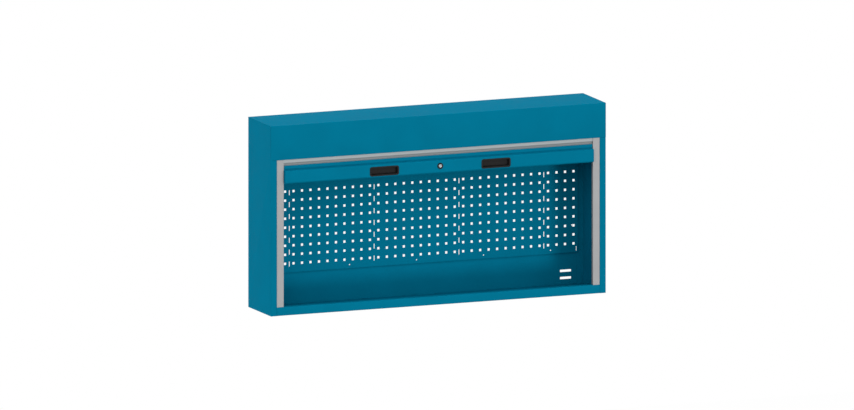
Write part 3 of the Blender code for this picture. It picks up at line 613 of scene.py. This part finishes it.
@dataclass(frozen=True)
class PlatedMetal(Finish):
    """Steel or brass under a bright plate, with the fine lines that rolling or turning leaves.

    Attributes:
        line: width of one tool line, in metres.
        stretch: how much longer than wide the lines are, along X.
        depth: depth of a line, in metres.
        strength: how much of that depth the light shows.
        cloud: width of one cloud of tone, in metres.
    """

    TONE_RANGE = (0.93, 1.05)
    DRIFT = 0.07
    line: float
    stretch: float
    depth: float = 0.01 * MM
    strength: float = 0.6
    cloud: float = 30 * MM

    def lay(self, tree: Tree, place: Socket) -> None:
        """Draw the plate in a material's tree.

        Args:
            tree: the material's tree.
            place: where on the piece a point lies.
        """
        along_x = {"Vector": place, "Scale": (1 / self.stretch, 1.0, 1.0)}
        drawn = add_node(tree, "ShaderNodeMapping", inputs=along_x).outputs["Vector"]
        scored = {"Vector": drawn, "Scale": 1 / self.line, "Detail": MANY_OCTAVES}
        lines = add_node(tree, "ShaderNodeTexNoise", inputs=scored)
        clouded = {"Vector": place, "Scale": 1 / self.cloud, "Detail": FEW_OCTAVES}
        clouds = add_node(tree, "ShaderNodeTexNoise", inputs=clouded)
        relief = {"Height": lines.outputs["Fac"], "Strength": self.strength, "Distance": self.depth}
        self.join(tree, (clouds, lines), relief, {"Metallic": 1.0})


@dataclass(frozen=True)
class MouldedPolymer(Finish):
    """Plastic or rubber out of a spark-eroded mould: an even matt grain with no direction.

    Attributes:
        sheen_level: how much of the polymer's plain reflection is left, where 0.5 is all of it.
        index: index of refraction.
        grain: width of one grain, in metres.
        relief: depth of the grain, in metres.
        strength: how much of that depth the light shows.
    """

    TONE_RANGE = (0.9, 1.1)
    DRIFT = 0.06
    sheen_level: float
    index: float
    grain: float
    relief: float
    strength: float = 0.8

    def lay(self, tree: Tree, place: Socket) -> None:
        """Draw the moulded surface in a material's tree.

        Args:
            tree: the material's tree.
            place: where on the piece a point lies.
        """
        grained = {"Vector": place, "Scale": 1 / self.grain, "Detail": SOME_OCTAVES}
        grain = add_node(tree, "ShaderNodeTexNoise", inputs=grained)
        relief = {"Height": grain.outputs["Fac"], "Strength": self.strength, "Distance": self.relief}
        film = {"Specular IOR Level": self.sheen_level, "IOR": self.index}
        self.join(tree, (grain, grain), relief, film)


# Epoxy-polyester powder coat, satin: a deep, even colour that hardly mirrors its surroundings.
PETROL_POWDER_COAT = StovedPaint(
    "petrol_powder_coat", "petrol_paint", "#017392",
    roughness=0.62, sheen_level=0.006, peel=3 * MM, relief=0.03 * MM, streak=1.0,
)
# Powder coat on the rails, a little glossier because the slats' ends rub it.
GREY_POWDER_COAT = StovedPaint(
    "grey_powder_coat", "rail_paint", "#A8A9AA",
    roughness=0.60, sheen_level=0.05, peel=3 * MM, relief=0.03 * MM, streak=1.0,
)
# Coil coat: rolled on before the strip is formed, so it is smoother, and its tone runs along the slat.
# Shade is painted into the bottom of each slat's groove.
GREY_COIL_COAT = StovedPaint(
    "grey_coil_coat", "slat_paint", "#A8AFB1",
    roughness=0.45, sheen_level=0.08, peel=5 * MM, relief=0.01 * MM, streak=12.0, painted_groove_shade=0.32,
)
# Electroplated zinc: a cool, slightly cloudy metal.
ZINC_PLATE = PlatedMetal(
    "zinc_plate", "zinc_plate", "#BDC2C6", roughness=0.34, line=0.6 * MM, stretch=30.0
)
# Satin nickel on a turned barrel: the brightest thing on the bar, and too soft to mirror a lamp.
SATIN_NICKEL = PlatedMetal(
    "satin_nickel", "lock_chrome", "#9DA1A3", roughness=0.50, line=0.3 * MM, stretch=1.0
)
# Oil-hardened spring wire: dark steel.
SPRING_WIRE = PlatedMetal(
    "spring_wire", "spring_steel", "#77787C", roughness=0.36, line=0.4 * MM, stretch=8.0
)
# Glass-filled polyamide of the pulls: charcoal, with a grain that scatters all gloss.
CHARCOAL_POLYAMIDE = MouldedPolymer(
    "charcoal_polyamide", "black_plastic", "#1B1919",
    roughness=0.62, sheen_level=0.14, index=1.53, grain=1.4 * MM, relief=0.04 * MM,
)
# Nylon of the plugs, shoes, guides and the lock's housing: nearly black, with a faint sheen.
BLACK_NYLON = MouldedPolymer(
    "black_nylon", "dark_nylon", "#0D0F10",
    roughness=0.50, sheen_level=0.1, index=1.53, grain=1.2 * MM, relief=0.02 * MM,
)
# Grey rubber of the stops: dull, and hardly darker than the shaded rail that it stands in.
BUFFER_RUBBER = MouldedPolymer(
    "buffer_rubber", "buffer_rubber", "#6B7377",
    roughness=0.82, sheen_level=0.3, index=1.52, grain=0.9 * MM, relief=0.03 * MM,
)


class Paintshop:
    """Keeps one material for each finish and puts it on pieces and on CAD nodes."""

    def __init__(self) -> None:
        """Start with no finish made."""
        self.made: dict[Finish, bpy.types.Material] = {}

    def material(self, finish: Finish) -> bpy.types.Material:
        """The finish's material, made when it is first asked for.

        Args:
            finish: the finish.

        Returns:
            Its material.
        """
        if finish not in self.made:
            self.made[finish] = finish.material()
        return self.made[finish]

    def dress_piece(self, piece: Piece, finish: Finish, body: str, *nodes: str) -> None:
        """Finish a new piece, which stands for CAD nodes and rides on their body.

        Args:
            piece: the piece.
            finish: its finish.
            body: the CAD body that it moves with.
            nodes: the CAD nodes that it stands for.
        """
        piece.data.materials.clear()
        piece.data.materials.append(self.material(finish))
        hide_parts(*nodes)
        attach(piece, body)
        LOG.info("%s: %d faces, %s, on %s", piece.name, len(piece.data.polygons), finish.name, body)

    def dress_nodes(self, finish: Finish, *nodes: str) -> None:
        """Finish CAD nodes whose solids are right as they are.

        Args:
            finish: their finish.
            nodes: their names.
        """
        for name in nodes:
            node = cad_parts[name]
            if not node.material_slots:
                node.data.materials.append(None)
            for material_slot in node.material_slots:
                material_slot.material = self.material(finish)
            LOG.info("%s: CAD node, %s", name, finish.name)


@dataclass
class Carcase:
    """Painted sheets of the cabinet: sides, hood, tray, backs and the soffit."""

    sheet: float = 1.5 * MM
    soffit_sheet: float = 1.2 * MM
    rail_sheet: float = 2.0 * MM
    bend: float = 0.4 * MM
    hem_play: float = 0.05 * MM
    stile_width: float = 26.7 * MM
    stile_return: float = 28 * MM
    rear_flange: float = 30 * MM
    hem: float = 10 * MM
    lip_return: float = 26 * MM
    fit_gap: float = 0.3 * MM
    keyhole_spacing: float = 1.2
    keyhole_radius: float = 8 * MM
    keyhole_neck: float = 9 * MM
    keyhole_neck_corner: float = 4.41 * MM
    keyhole_rise: float = 18 * MM

    def __post_init__(self) -> None:
        """Read the cabinet's outer faces from the CAD nodes."""
        self.low, self.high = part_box("side_panel_right")
        self.half_width = self.high.x
        self.front, self.back = self.low.y, self.high.y
        self.base = self.low.z
        self.hood_low, self.hood_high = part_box("hood_cover")

    def side_panel(self, side: Side) -> Piece:
        """A side sheet with its stile in front and its flange behind.

        Args:
            side: which side.

        Returns:
            The panel.
        """
        stile_inner = self.half_width - self.stile_width
        path = [
            (stile_inner, self.front + self.stile_return),
            (stile_inner, self.front),
            (self.half_width, self.front),
            (self.half_width, self.back),
            (self.half_width - self.rear_flange, self.back),
        ]
        plan = on_side(path, side)
        name = side.node("folded_side")
        panel = FoldedSheet(name, plan, (self.base, self.high.z), self.sheet, self.bend, Run.ALONG_Z).fold()
        cut(panel, self.header_room(side, stile_inner))
        shade(panel)
        return panel

    def header_room(self, side: Side, inner: float) -> Piece:
        """A cutter for what the header covers at one side.

        Args:
            side: which side.
            inner: where the cut starts, as a distance from the middle.

        Returns:
            The cutter.
        """
        reach = (inner - PAST_THE_SHEET, self.half_width + PAST_THE_SHEET)
        across = sorted(side.value * x for x in reach)
        back = self.front + 2 * self.sheet + self.fit_gap
        low = Vector((across[0], self.front - PAST_THE_SHEET, self.hood_low.z - self.fit_gap))
        high = Vector((across[1], back, self.hood_high.z + PAST_THE_SHEET))
        return block("header_room", low, high)

    def hood(self) -> Piece:
        """The top and header sheet, with the header's lower edge hemmed.

        Returns:
            The hood.
        """
        wall = self.sheet - self.hem_play
        hem_back = self.front + 2 * self.sheet
        path = [
            (self.back, self.hood_high.z),
            (self.front, self.hood_high.z),
            (self.front, self.hood_low.z),
            (hem_back, self.hood_low.z),
            (hem_back, self.hood_low.z + self.hem),
        ]
        return FoldedSheet("folded_hood", path, (-self.half_width, self.half_width), wall, 0.0).fold()

    def tray(self) -> Piece:
        """Floor and front lip. The lip stands between the stiles and the floor runs to the sides.

        Returns:
            The tray.
        """
        low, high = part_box("bottom_tray")
        lip_half = self.half_width - self.stile_width - self.fit_gap
        path = [
            (self.front + self.lip_return, high.z),
            (self.front, high.z),
            (self.front, self.base),
            (high.y, self.base),
        ]
        sheet = FoldedSheet("folded_tray", path, (-lip_half, lip_half), self.sheet, self.bend)
        strip = sheet.strip()
        wing_front = self.front + self.stile_return + self.fit_gap
        edit(strip)

        def in_floor(part: Part) -> bool:
            """Whether all of a face or an edge lies in the floor."""
            return all(vert.co.z < low.z + SAME_PLACE for vert in part.verts)

        def at_wing(edge: Part, side: Side) -> bool:
            """Whether the floor widens at an edge, to one side.

            Args:
                edge: the edge.
                side: the side.

            Returns:
                True where it widens.
            """
            return in_floor(edge) and all(
                abs(vert.co.x - side.value * lip_half) < SAME_PLACE
                and vert.co.y > wing_front - SAME_PLACE
                for vert in edge.verts
            )

        select(in_floor, Pick.FACES)
        bpy.ops.mesh.bisect(plane_co=(0, wing_front, 0), plane_no=(0, 1, 0))
        for side in Side:
            select(lambda edge: at_wing(edge, side))
            reach = side.value * (high.x - lip_half)
            bpy.ops.mesh.extrude_region_move(TRANSFORM_OT_translate={"value": (reach, 0, 0)})
        leave_edit()
        return sheet.thicken(strip)

    def soffit(self) -> Piece:
        """Sheet under the curtain's store, turned up in front.

        Returns:
            The soffit.
        """
        low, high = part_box("hood_soffit")
        path = [(low.y, high.z), (low.y, low.z), (high.y, low.z)]
        return FoldedSheet("folded_soffit", path, (low.x, high.x), self.soffit_sheet, self.bend).fold()

    def hanging_rail(self) -> Piece:
        """Rail that hangs on the wall screws by its two keyholes, level with the frame's origin.

        Returns:
            The rail.
        """
        low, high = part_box("hanging_rail")
        path = [(low.y, low.z), (high.y, low.z), (high.y, high.z), (low.y, high.z)]
        rail = FoldedSheet("folded_hanging_rail", path, (low.x, high.x), self.rail_sheet, self.bend).fold()
        through = (high.y - self.rail_sheet - PAST_THE_SHEET, high.y + PAST_THE_SHEET)
        for side in Side:
            x = side.value * self.keyhole_spacing / 2
            eye = round_bar("keyhole_eye", (x, 0.0), self.keyhole_radius, through, sides=48)
            half = self.keyhole_neck / 2
            neck_low = Vector((x - half, through[0], -half))
            neck_high = Vector((x + half, through[1], self.keyhole_rise + half))
            neck = block("keyhole_neck", neck_low, neck_high)
            round_upright_corners(neck, self.keyhole_neck_corner)
            cut(rail, eye, neck)
        shade(rail)
        return rail

    def build(self, paint: Paintshop) -> None:
        """Build and dress the carcase.

        Args:
            paint: what dresses the pieces.
        """
        for side in Side:
            panel = self.side_panel(side)
            paint.dress_piece(panel, PETROL_POWDER_COAT, "cabinet", side.node("side_panel"))
        folded = {"hood_cover": self.hood(), "bottom_tray": self.tray(), "hood_soffit": self.soffit()}
        for node, piece in folded.items():
            paint.dress_piece(piece, PETROL_POWDER_COAT, "cabinet", node)
        paint.dress_piece(self.hanging_rail(), ZINC_PLATE, "cabinet", "hanging_rail")
        paint.dress_nodes(PETROL_POWDER_COAT, "perforated_panel", "rear_panel")


@dataclass
class GuideRails:
    """The two grey channels that guide the curtain, and what is fixed in them."""

    sheet: float = 1.5 * MM
    bend: float = 0.6 * MM
    rear_flange: float = 24.8 * MM

    def rail(self, side: Side, carcase: Carcase) -> Piece:
        """One channel, open towards the door.

        Args:
            side: which side.
            carcase: the carcase, whose header the rail stops behind.

        Returns:
            The rail.
        """
        low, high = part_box(Side.RIGHT.node("guide_rail"))
        rear_inner = high.x - self.rear_flange
        path = [(low.x, low.y), (high.x, low.y), (high.x, high.y), (rear_inner, high.y)]
        plan = on_side(path, side)
        name = side.node("folded_rail")
        rail = FoldedSheet(name, plan, (low.z, high.z), self.sheet, self.bend, Run.ALONG_Z).fold()
        cut(rail, carcase.header_room(side, low.x))
        shade(rail)
        return rail

    def build(self, paint: Paintshop, carcase: Carcase) -> None:
        """Build and dress the rails, and finish the pieces fixed in them.

        Args:
            paint: what dresses the pieces.
            carcase: the carcase, whose header the rails stop behind.
        """
        for side in Side:
            rail = self.rail(side, carcase)
            paint.dress_piece(rail, GREY_POWDER_COAT, "cabinet", side.node("guide_rail"))
            paint.dress_nodes(ZINC_PLATE, side.node("strike_plate"))
            paint.dress_nodes(BUFFER_RUBBER, side.node("stop_rubber"))


@dataclass
class Curtain:
    """The tambour's roll-formed slats."""

    sheet: float = 0.5 * MM
    groove_height: float = 13.5 * MM
    groove_depth: float = 5 * MM
    groove_ramp: float = 4 * MM
    bend: float = 2.5 * MM
    foot: float = 14 * MM
    foot_setback: float = 2.5 * MM
    count: int = 22

    def slat(self, node: str, footed: bool) -> Piece:
        """One slat, formed where its CAD node stands.

        Args:
            node: the CAD node.
            footed: whether the slat has the foot that the closing bar holds.

        Returns:
            The slat.
        """
        low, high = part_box(node)
        lower_edge = low.z + (self.foot if footed else 0.0)
        ramp_top = lower_edge + self.groove_height
        groove = low.y + self.groove_depth
        ramp_base = ramp_top - self.groove_ramp
        path = [(low.y, high.z), (low.y, ramp_top), (groove, ramp_base), (groove, lower_edge)]
        if footed:
            foot_front = low.y + self.foot_setback
            path += [(foot_front, lower_edge - (groove - foot_front)), (foot_front, low.z)]
        name = f"formed_slat_{node[-2:]}"
        slat = FoldedSheet(name, path, (low.x, high.x), self.sheet, self.bend).fold()
        self.mark_groove(slat, low.y)
        return slat

    def mark_groove(self, slat: Piece, front: float) -> None:
        """Note on a slat how deep each of its points lies, from 0 in front to 1 in the groove, for the
        painted shade.

        Args:
            slat: the slat.
            front: the y of its front.
        """
        layer = slat.data.attributes.new(GROOVE_DEPTH_LAYER, "FLOAT", "POINT")
        for vert, note in zip(slat.data.vertices, layer.data):
            note.value = min(1.0, max(0.0, (vert.co.y - front) / self.groove_depth))

    def build(self, paint: Paintshop) -> None:
        """Form the lowest slat and one other, and copy the other to all the rest.

        Args:
            paint: what dresses the pieces.
        """
        names = [f"tambour_slat_{number:02d}" for number in range(1, self.count + 1)]
        paint.dress_piece(self.slat(names[0], footed=True), GREY_COIL_COAT, "closing_bar", names[0])
        pattern = self.slat(names[1], footed=False)
        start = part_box(names[1])[0]
        for name in names[2:]:
            make_active(pattern)
            bpy.ops.object.duplicate(linked=False)
            copy = bpy.context.active_object
            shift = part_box(name)[0] - start
            bpy.ops.transform.translate(value=(0.0, shift.y, shift.z))
            copy.name = f"formed_slat_{name[-2:]}"
            bpy.ops.object.transform_apply(location=True, rotation=True, scale=True)
            paint.dress_piece(copy, GREY_COIL_COAT, f"slat_{name[-2:]}", name)
        paint.dress_piece(pattern, GREY_COIL_COAT, f"slat_{names[1][-2:]}", names[1])


@dataclass
class RecessedPull:
    """A moulded pull: a thin rounded flange around a pocket for the fingers."""

    flange: float = 1.5 * MM
    corner: float = 9 * MM
    rim: float = 4.5 * MM
    wall: float = 1.5 * MM
    floor: float = 1.5 * MM
    draft_across: float = 0.97
    draft_upright: float = 0.912673
    eased: float = 0.45 * MM

    def build(self, side: Side, paint: Paintshop) -> None:
        """Model and dress one pull.

        Args:
            side: which pull.
            paint: what dresses it.
        """
        node = side.node("handle_cup")
        low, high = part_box(node)
        seat = low.y + self.flange
        cup = block(side.node("moulded_pull"), low, Vector((high.x, seat, high.z)))
        round_upright_corners(cup, self.corner)
        edit(cup, Pick.FACES)
        step_in(Facing.BACK, self.rim, high.y - seat)
        step_in(Facing.FRONT, self.rim + self.wall, high.y - self.floor - low.y)
        narrowed = (self.draft_across, 1.0, self.draft_upright)
        bpy.ops.transform.resize(value=narrowed, center_override=(low + high) / 2)
        leave_edit()
        ease_edges(cup, self.eased, steps=3)
        shade(cup)
        paint.dress_piece(cup, CHARCOAL_POLYAMIDE, "closing_bar", node)


@dataclass
class CylinderLock:
    """The lock between the pulls: a dark housing around a bright barrel with its keyway."""

    ring_thickness: float = 1.9 * MM
    body_radius: float = 10 * MM
    bore_play: float = 0.3 * MM
    barrel_radius: float = 6.6 * MM
    dish_radius: float = 5.4 * MM
    dish_depth: float = 0.5 * MM
    keyway_width: float = 1.6 * MM
    keyway_height: float = 8.5 * MM
    keyway_depth: float = 4 * MM
    tail: float = 6 * MM
    eased: float = 0.4 * MM

    def __post_init__(self) -> None:
        """Read the lock's axis from its housing."""
        self.low, self.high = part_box("lock_housing")
        middle = (self.low + self.high) / 2
        self.axis = (middle.x, middle.z)
        self.radius = (self.high.x - self.low.x) / 2

    def housing(self) -> Piece:
        """A ring with the body behind it, bored for the barrel.

        Returns:
            The housing.
        """
        seat = self.low.y + self.ring_thickness
        ring_ends = (self.low.y, seat)
        housing = round_bar("turned_lock_housing", self.axis, self.radius, ring_ends, TURNED_SIDES)
        edit(housing, Pick.FACES)
        step_in(Facing.BACK, self.radius - self.body_radius, self.high.y - seat)
        leave_edit()
        bore_ends = (self.low.y - PAST_THE_SHEET, self.high.y + PAST_THE_SHEET)
        bore_radius = self.barrel_radius + self.bore_play
        cut(housing, round_bar("lock_bore", self.axis, bore_radius, bore_ends, TURNED_SIDES))
        ease_edges(housing, self.eased, steps=3)
        shade(housing)
        return housing

    def barrel(self) -> Piece:
        """The barrel, dished in front around its keyway, with a square tail behind.

        Returns:
            The barrel.
        """
        low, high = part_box("lock_barrel")
        shoulder = self.high.y + self.bore_play
        ends = (low.y, shoulder)
        barrel = round_bar("turned_lock_barrel", self.axis, self.barrel_radius, ends, TURNED_SIDES)
        edit(barrel, Pick.FACES)
        step_in(Facing.FRONT, self.barrel_radius - self.dish_radius, self.dish_depth)
        leave_edit()
        ease_edges(barrel, self.eased / 2)
        half = Vector((self.keyway_width / 2, 0, self.keyway_height / 2))
        centre = Vector((self.axis[0], 0, self.axis[1]))
        keyway_low = centre - half + Vector((0, low.y - PAST_THE_SHEET, 0))
        keyway_high = centre + half + Vector((0, low.y + self.keyway_depth, 0))
        cut(barrel, block("keyway", keyway_low, keyway_high))
        tail_half = Vector((self.tail / 2, 0, self.tail / 2))
        tail_low = centre - tail_half + Vector((0, shoulder - self.tail / 2, 0))
        join_solid(barrel, block("lock_tail", tail_low, centre + tail_half + Vector((0, high.y, 0))))
        shade(barrel)
        return barrel

    def build(self, paint: Paintshop) -> None:
        """Build and dress the lock.

        Args:
            paint: what dresses the pieces.
        """
        paint.dress_piece(self.housing(), BLACK_NYLON, "closing_bar", "lock_housing")
        paint.dress_piece(self.barrel(), SATIN_NICKEL, "key_barrel", "lock_barrel")
        paint.dress_nodes(ZINC_PLATE, "lock_nut", "lock_cam", "lock_rod_left", "lock_rod_right")


@dataclass
class ClosingBar:
    """The painted bar at the curtain's lower edge."""

    sheet: float = 1.2 * MM
    bend: float = 0.35 * MM
    flange_setback: float = 1.0 * MM
    groove_depth: float = 3.6 * MM
    groove_top: float = 60.5 * MM
    ledge_top: float = 56.5 * MM
    face_top: float = 54 * MM
    face_base: float = 5.5 * MM
    chamfer_depth: float = 4.5 * MM
    rear_lip: float = 12 * MM
    cover_upstand: float = 13 * MM
    cutout_play: float = 0.3 * MM
    pull: RecessedPull = field(default_factory=RecessedPull)
    lock: CylinderLock = field(default_factory=CylinderLock)

    def __post_init__(self) -> None:
        """Read the bar's outer faces from the CAD nodes."""
        self.low, self.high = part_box("closing_bar_shell")
        self.carcase_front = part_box("hood_cover")[0].y

    def pull_cutout(self, side: Side) -> Piece:
        """A cutter for a pull's body in the bar's face.

        Args:
            side: which pull.

        Returns:
            The cutter.
        """
        low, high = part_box(side.node("handle_cup"))
        margin = self.pull.rim - self.cutout_play
        inset = Vector((margin, 0.0, margin))
        cutout = block("pull_cutout", low + inset, high - inset)
        round_upright_corners(cutout, self.pull.corner - margin)
        return cutout

    def shell(self) -> Piece:
        """Folded front of the bar, with the cut-outs for the pulls and the lock.

        Returns:
            The shell.
        """
        flange_front = self.carcase_front + self.flange_setback
        face = self.low.y
        base = self.low.z
        path = [
            (flange_front, self.high.z),
            (flange_front, base + self.groove_top),
            (flange_front + self.groove_depth, base + self.groove_top),
            (flange_front + self.groove_depth, base + self.ledge_top),
            (face, base + self.face_top),
            (face, base + self.face_base),
            (face + self.chamfer_depth, base),
            (self.high.y, base),
            (self.high.y, base + self.rear_lip),
        ]
        ends = (self.low.x, self.high.x)
        shell = FoldedSheet("folded_bar_shell", path, ends, self.sheet, self.bend).fold()
        through = (face - PAST_THE_SHEET, face + self.sheet + PAST_THE_SHEET)
        lock_hole = round_bar("lock_hole", self.lock.axis, self.lock.body_radius + self.cutout_play, through)
        cut(shell, self.pull_cutout(Side.LEFT), self.pull_cutout(Side.RIGHT), lock_hole)
        shade(shell)
        return shell

    def rear_cover(self) -> Piece:
        """Folded back of the bar, with the upstand behind the lowest slat's foot.

        Returns:
            The cover.
        """
        low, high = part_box("closing_bar_rear_cover")
        step = high.z - self.cover_upstand
        upstand = low.y + self.sheet
        path = [(high.y, low.z), (high.y, step), (upstand, step), (upstand, high.z)]
        return FoldedSheet("folded_bar_cover", path, (low.x, high.x), self.sheet, self.bend).fold()

    def build(self, paint: Paintshop) -> None:
        """Build and dress the bar with its pulls and its lock.

        Args:
            paint: what dresses the pieces.
        """
        paint.dress_piece(self.shell(), PETROL_POWDER_COAT, "closing_bar", "closing_bar_shell")
        paint.dress_piece(self.rear_cover(), PETROL_POWDER_COAT, "closing_bar", "closing_bar_rear_cover")
        for side in Side:
            self.pull.build(side, paint)
            paint.dress_nodes(PETROL_POWDER_COAT, side.node("bar_end_cap"))
            paint.dress_nodes(BLACK_NYLON, side.node("guide_shoe"), side.node("rod_guide"))
        self.lock.build(paint)


@dataclass
class CurtainRoller:
    """The sprung roller in the hood, whose CAD solids only need their finishes."""

    def build(self, paint: Paintshop) -> None:
        """Dress the roller and its bearings.

        Args:
            paint: what dresses the pieces.
        """
        paint.dress_nodes(ZINC_PLATE, "roller_tube", "spring_axle")
        paint.dress_nodes(SPRING_WIRE, "torsion_spring")
        for side in Side:
            paint.dress_nodes(ZINC_PLATE, side.node("roller_bracket"))
            paint.dress_nodes(BLACK_NYLON, side.node("roller_end_plug"))


@dataclass(frozen=True)
class Softbox:
    """A square lamp that faces the cabinet and is not seen itself.

    Attributes:
        name: the lamp's name.
        azimuth: degrees to the right of straight in front.
        elevation: degrees above the level.
        distance: how far off it hangs.
        level: what it adds to a surface that faces it, where a white sky all round would give 1.
        half_angle: degrees from its middle to its edge, as the cabinet sees it.
    """

    name: str
    azimuth: float
    elevation: float
    distance: float
    level: float
    half_angle: float = 15.0


@dataclass
class Studio:
    """Soft light, a pale floor and the camera at the photograph's angle."""

    azimuth: float = -22.25
    elevation: float = 10.0
    view_width: float = 3.5405
    picture_drop: float = 0.8 * MM
    distance: float = 8.0
    view_depth: float = 200.0
    floor_drop: float = 1.3
    floor_size: float = 8.0
    floor_colour: str = "#A8A8A6"
    floor_glow: float = 0.99
    sky: float = 0.95
    below: float = 0.25
    horizon: float = 0.15
    key_azimuth: float = 18.0
    key_elevation: float = -11.0
    key_spread: float = 15.0
    key_level: float = 0.28
    softboxes: tuple[Softbox, ...] = (
        Softbox("fill_softbox", azimuth=-22, elevation=25, distance=12.0, level=0.12),
        Softbox("side_softbox", azimuth=-105, elevation=10, distance=8.0, level=0.29),
        Softbox("top_softbox", azimuth=0, elevation=88, distance=6.0, level=0.15),
    )

    def centre(self) -> Vector:
        """Middle of the carcase.

        Returns:
            The point.
        """
        low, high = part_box("side_panel_left")
        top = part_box("hood_cover")[1].z
        return Vector((0.0, (low.y + high.y) / 2, (low.z + top) / 2))

    @staticmethod
    def heading(azimuth: float, elevation: float) -> Vector:
        """Unit vector from the cabinet to a viewer or a lamp, by degrees to the right and upwards."""
        turn, rise = math.radians(azimuth), math.radians(elevation)
        return Vector((math.sin(turn) * math.cos(rise), -math.cos(turn) * math.cos(rise), math.sin(rise)))

    def hang(self, data: bpy.types.Camera | bpy.types.Light, heading: Vector, distance: float) -> Piece:
        """Hang the camera or a lamp so that it faces the cabinet.

        Args:
            data: the camera's lens or the lamp's light.
            heading: the way to it from the cabinet.
            distance: how far off it hangs.

        Returns:
            The camera or the lamp.
        """
        hung = bpy.data.objects.new(data.name, data)
        bpy.context.scene.collection.objects.link(hung)
        hung.location = self.centre() + heading * distance
        hung.rotation_euler = heading.to_track_quat("Z", "Y").to_euler()
        return hung

    def camera(self) -> None:
        """Hang the camera: parallel, as the photograph shows no convergence."""
        data = bpy.data.cameras.new("studio_camera")
        data.type = "ORTHO"
        data.ortho_scale = self.view_width
        data.clip_end = self.view_depth
        camera = self.hang(data, self.heading(self.azimuth, self.elevation), self.distance)
        camera.location -= camera.rotation_euler.to_matrix() @ Vector((0.0, self.picture_drop, 0.0))
        bpy.context.scene.camera = camera

    def softbox(self, box: Softbox) -> None:
        """Hang one softbox.

        Args:
            box: the softbox.
        """
        data = bpy.data.lights.new(box.name, "AREA")
        data.shape = "SQUARE"
        data.size = 2 * box.distance * math.tan(math.radians(box.half_angle))
        data.energy = box.level * math.pi**2 * box.distance**2
        lamp = self.hang(data, self.heading(box.azimuth, box.elevation), box.distance)
        lamp.visible_camera = False

    def key_light(self) -> None:
        """The main lamp: so far off that it lights both ends alike, and low to the right."""
        data = bpy.data.lights.new("key_light", "SUN")
        data.angle = math.radians(self.key_spread)
        data.energy = self.key_level * math.pi
        self.hang(data, self.heading(self.key_azimuth, self.key_elevation), self.distance)

    def background_share(self, tree: Tree) -> Socket:
        """1 for the rays that see the background as white: camera, glossy and transmission rays.

        Args:
            tree: the tree that gets the nodes.

        Returns:
            The socket that gives it.
        """
        rays = add_node(tree, "ShaderNodeLightPath")
        share = rays.outputs["Is Camera Ray"]
        for kind in ("Is Glossy Ray", "Is Transmission Ray"):
            either = {0: share, 1: rays.outputs[kind]}
            share = add_node(tree, "ShaderNodeMath", {"operation": "MAXIMUM"}, either).outputs["Value"]
        return share

    def sky_dome(self) -> None:
        """A white sky whose light fades below the horizon, though as a background it is white all round."""
        world = bpy.data.worlds.new("studio_sky")
        world.use_nodes = True
        tree = world.node_tree
        tree.nodes.clear()
        way = add_node(tree, "ShaderNodeTexCoord").outputs["Generated"]
        rise = add_node(tree, "ShaderNodeSeparateXYZ", inputs={"Vector": way}).outputs["Z"]
        band = {"Value": rise, "From Min": -self.horizon, "From Max": self.horizon}
        fade = {**band, "To Min": self.below, "To Max": self.sky}
        light = add_node(tree, "ShaderNodeMapRange", {"interpolation_type": "SMOOTHSTEP"}, fade)
        seen = {"Value": self.background_share(tree), "To Min": light.outputs["Result"], "To Max": 1.0}
        level = add_node(tree, "ShaderNodeMapRange", inputs=seen).outputs["Result"]
        white = {"Color": (1, 1, 1, 1), "Strength": level}
        sky = add_node(tree, "ShaderNodeBackground", inputs=white)
        add_node(tree, "ShaderNodeOutputWorld", inputs={"Surface": sky.outputs["Background"]})
        bpy.context.scene.world = world

    def floor(self) -> None:
        """A pale floor as far below the cabinet as a workshop's, which keeps a soft shadow."""
        material, tree = empty_material("studio_floor")
        dull = {"Color": linear(self.floor_colour), "Roughness": 1.0}
        matt = add_node(tree, "ShaderNodeBsdfDiffuse", inputs=dull)
        glow = add_node(tree, "ShaderNodeEmission", inputs={"Color": (1, 1, 1, 1), "Strength": 1.0})
        seen = {0: self.background_share(tree), 1: self.floor_glow}
        share = add_node(tree, "ShaderNodeMath", {"operation": "MULTIPLY"}, seen)
        both = {0: share.outputs["Value"], 1: matt.outputs["BSDF"], 2: glow.outputs["Emission"]}
        mixed = add_node(tree, "ShaderNodeMixShader", inputs=both)
        add_node(tree, "ShaderNodeOutputMaterial", inputs={"Surface": mixed.outputs["Shader"]})
        deselect_all()
        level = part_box("bottom_tray")[0].z - self.floor_drop
        bpy.ops.mesh.primitive_plane_add(size=self.floor_size, location=(0, 0, level))
        floor = name_new_piece("studio_floor")
        floor.data.materials.append(material)

    def build(self) -> None:
        """Set up the whole studio."""
        self.camera()
        self.sky_dome()
        self.floor()
        self.key_light()
        for box in self.softboxes:
            self.softbox(box)
        bpy.context.scene.view_settings.view_transform = "Standard"


def main() -> None:
    """Build the studio and dress the cabinet, one sub-assembly after another."""
    logging.basicConfig(level=logging.INFO, format="%(name)s: %(message)s")
    Studio().build()
    paint = Paintshop()
    carcase = Carcase()
    carcase.build(paint)
    GuideRails().build(paint, carcase)
    Curtain().build(paint)
    ClosingBar().build(paint)
    CurtainRoller().build(paint)
    deselect_all()


if __name__ == "__main__":
    main()
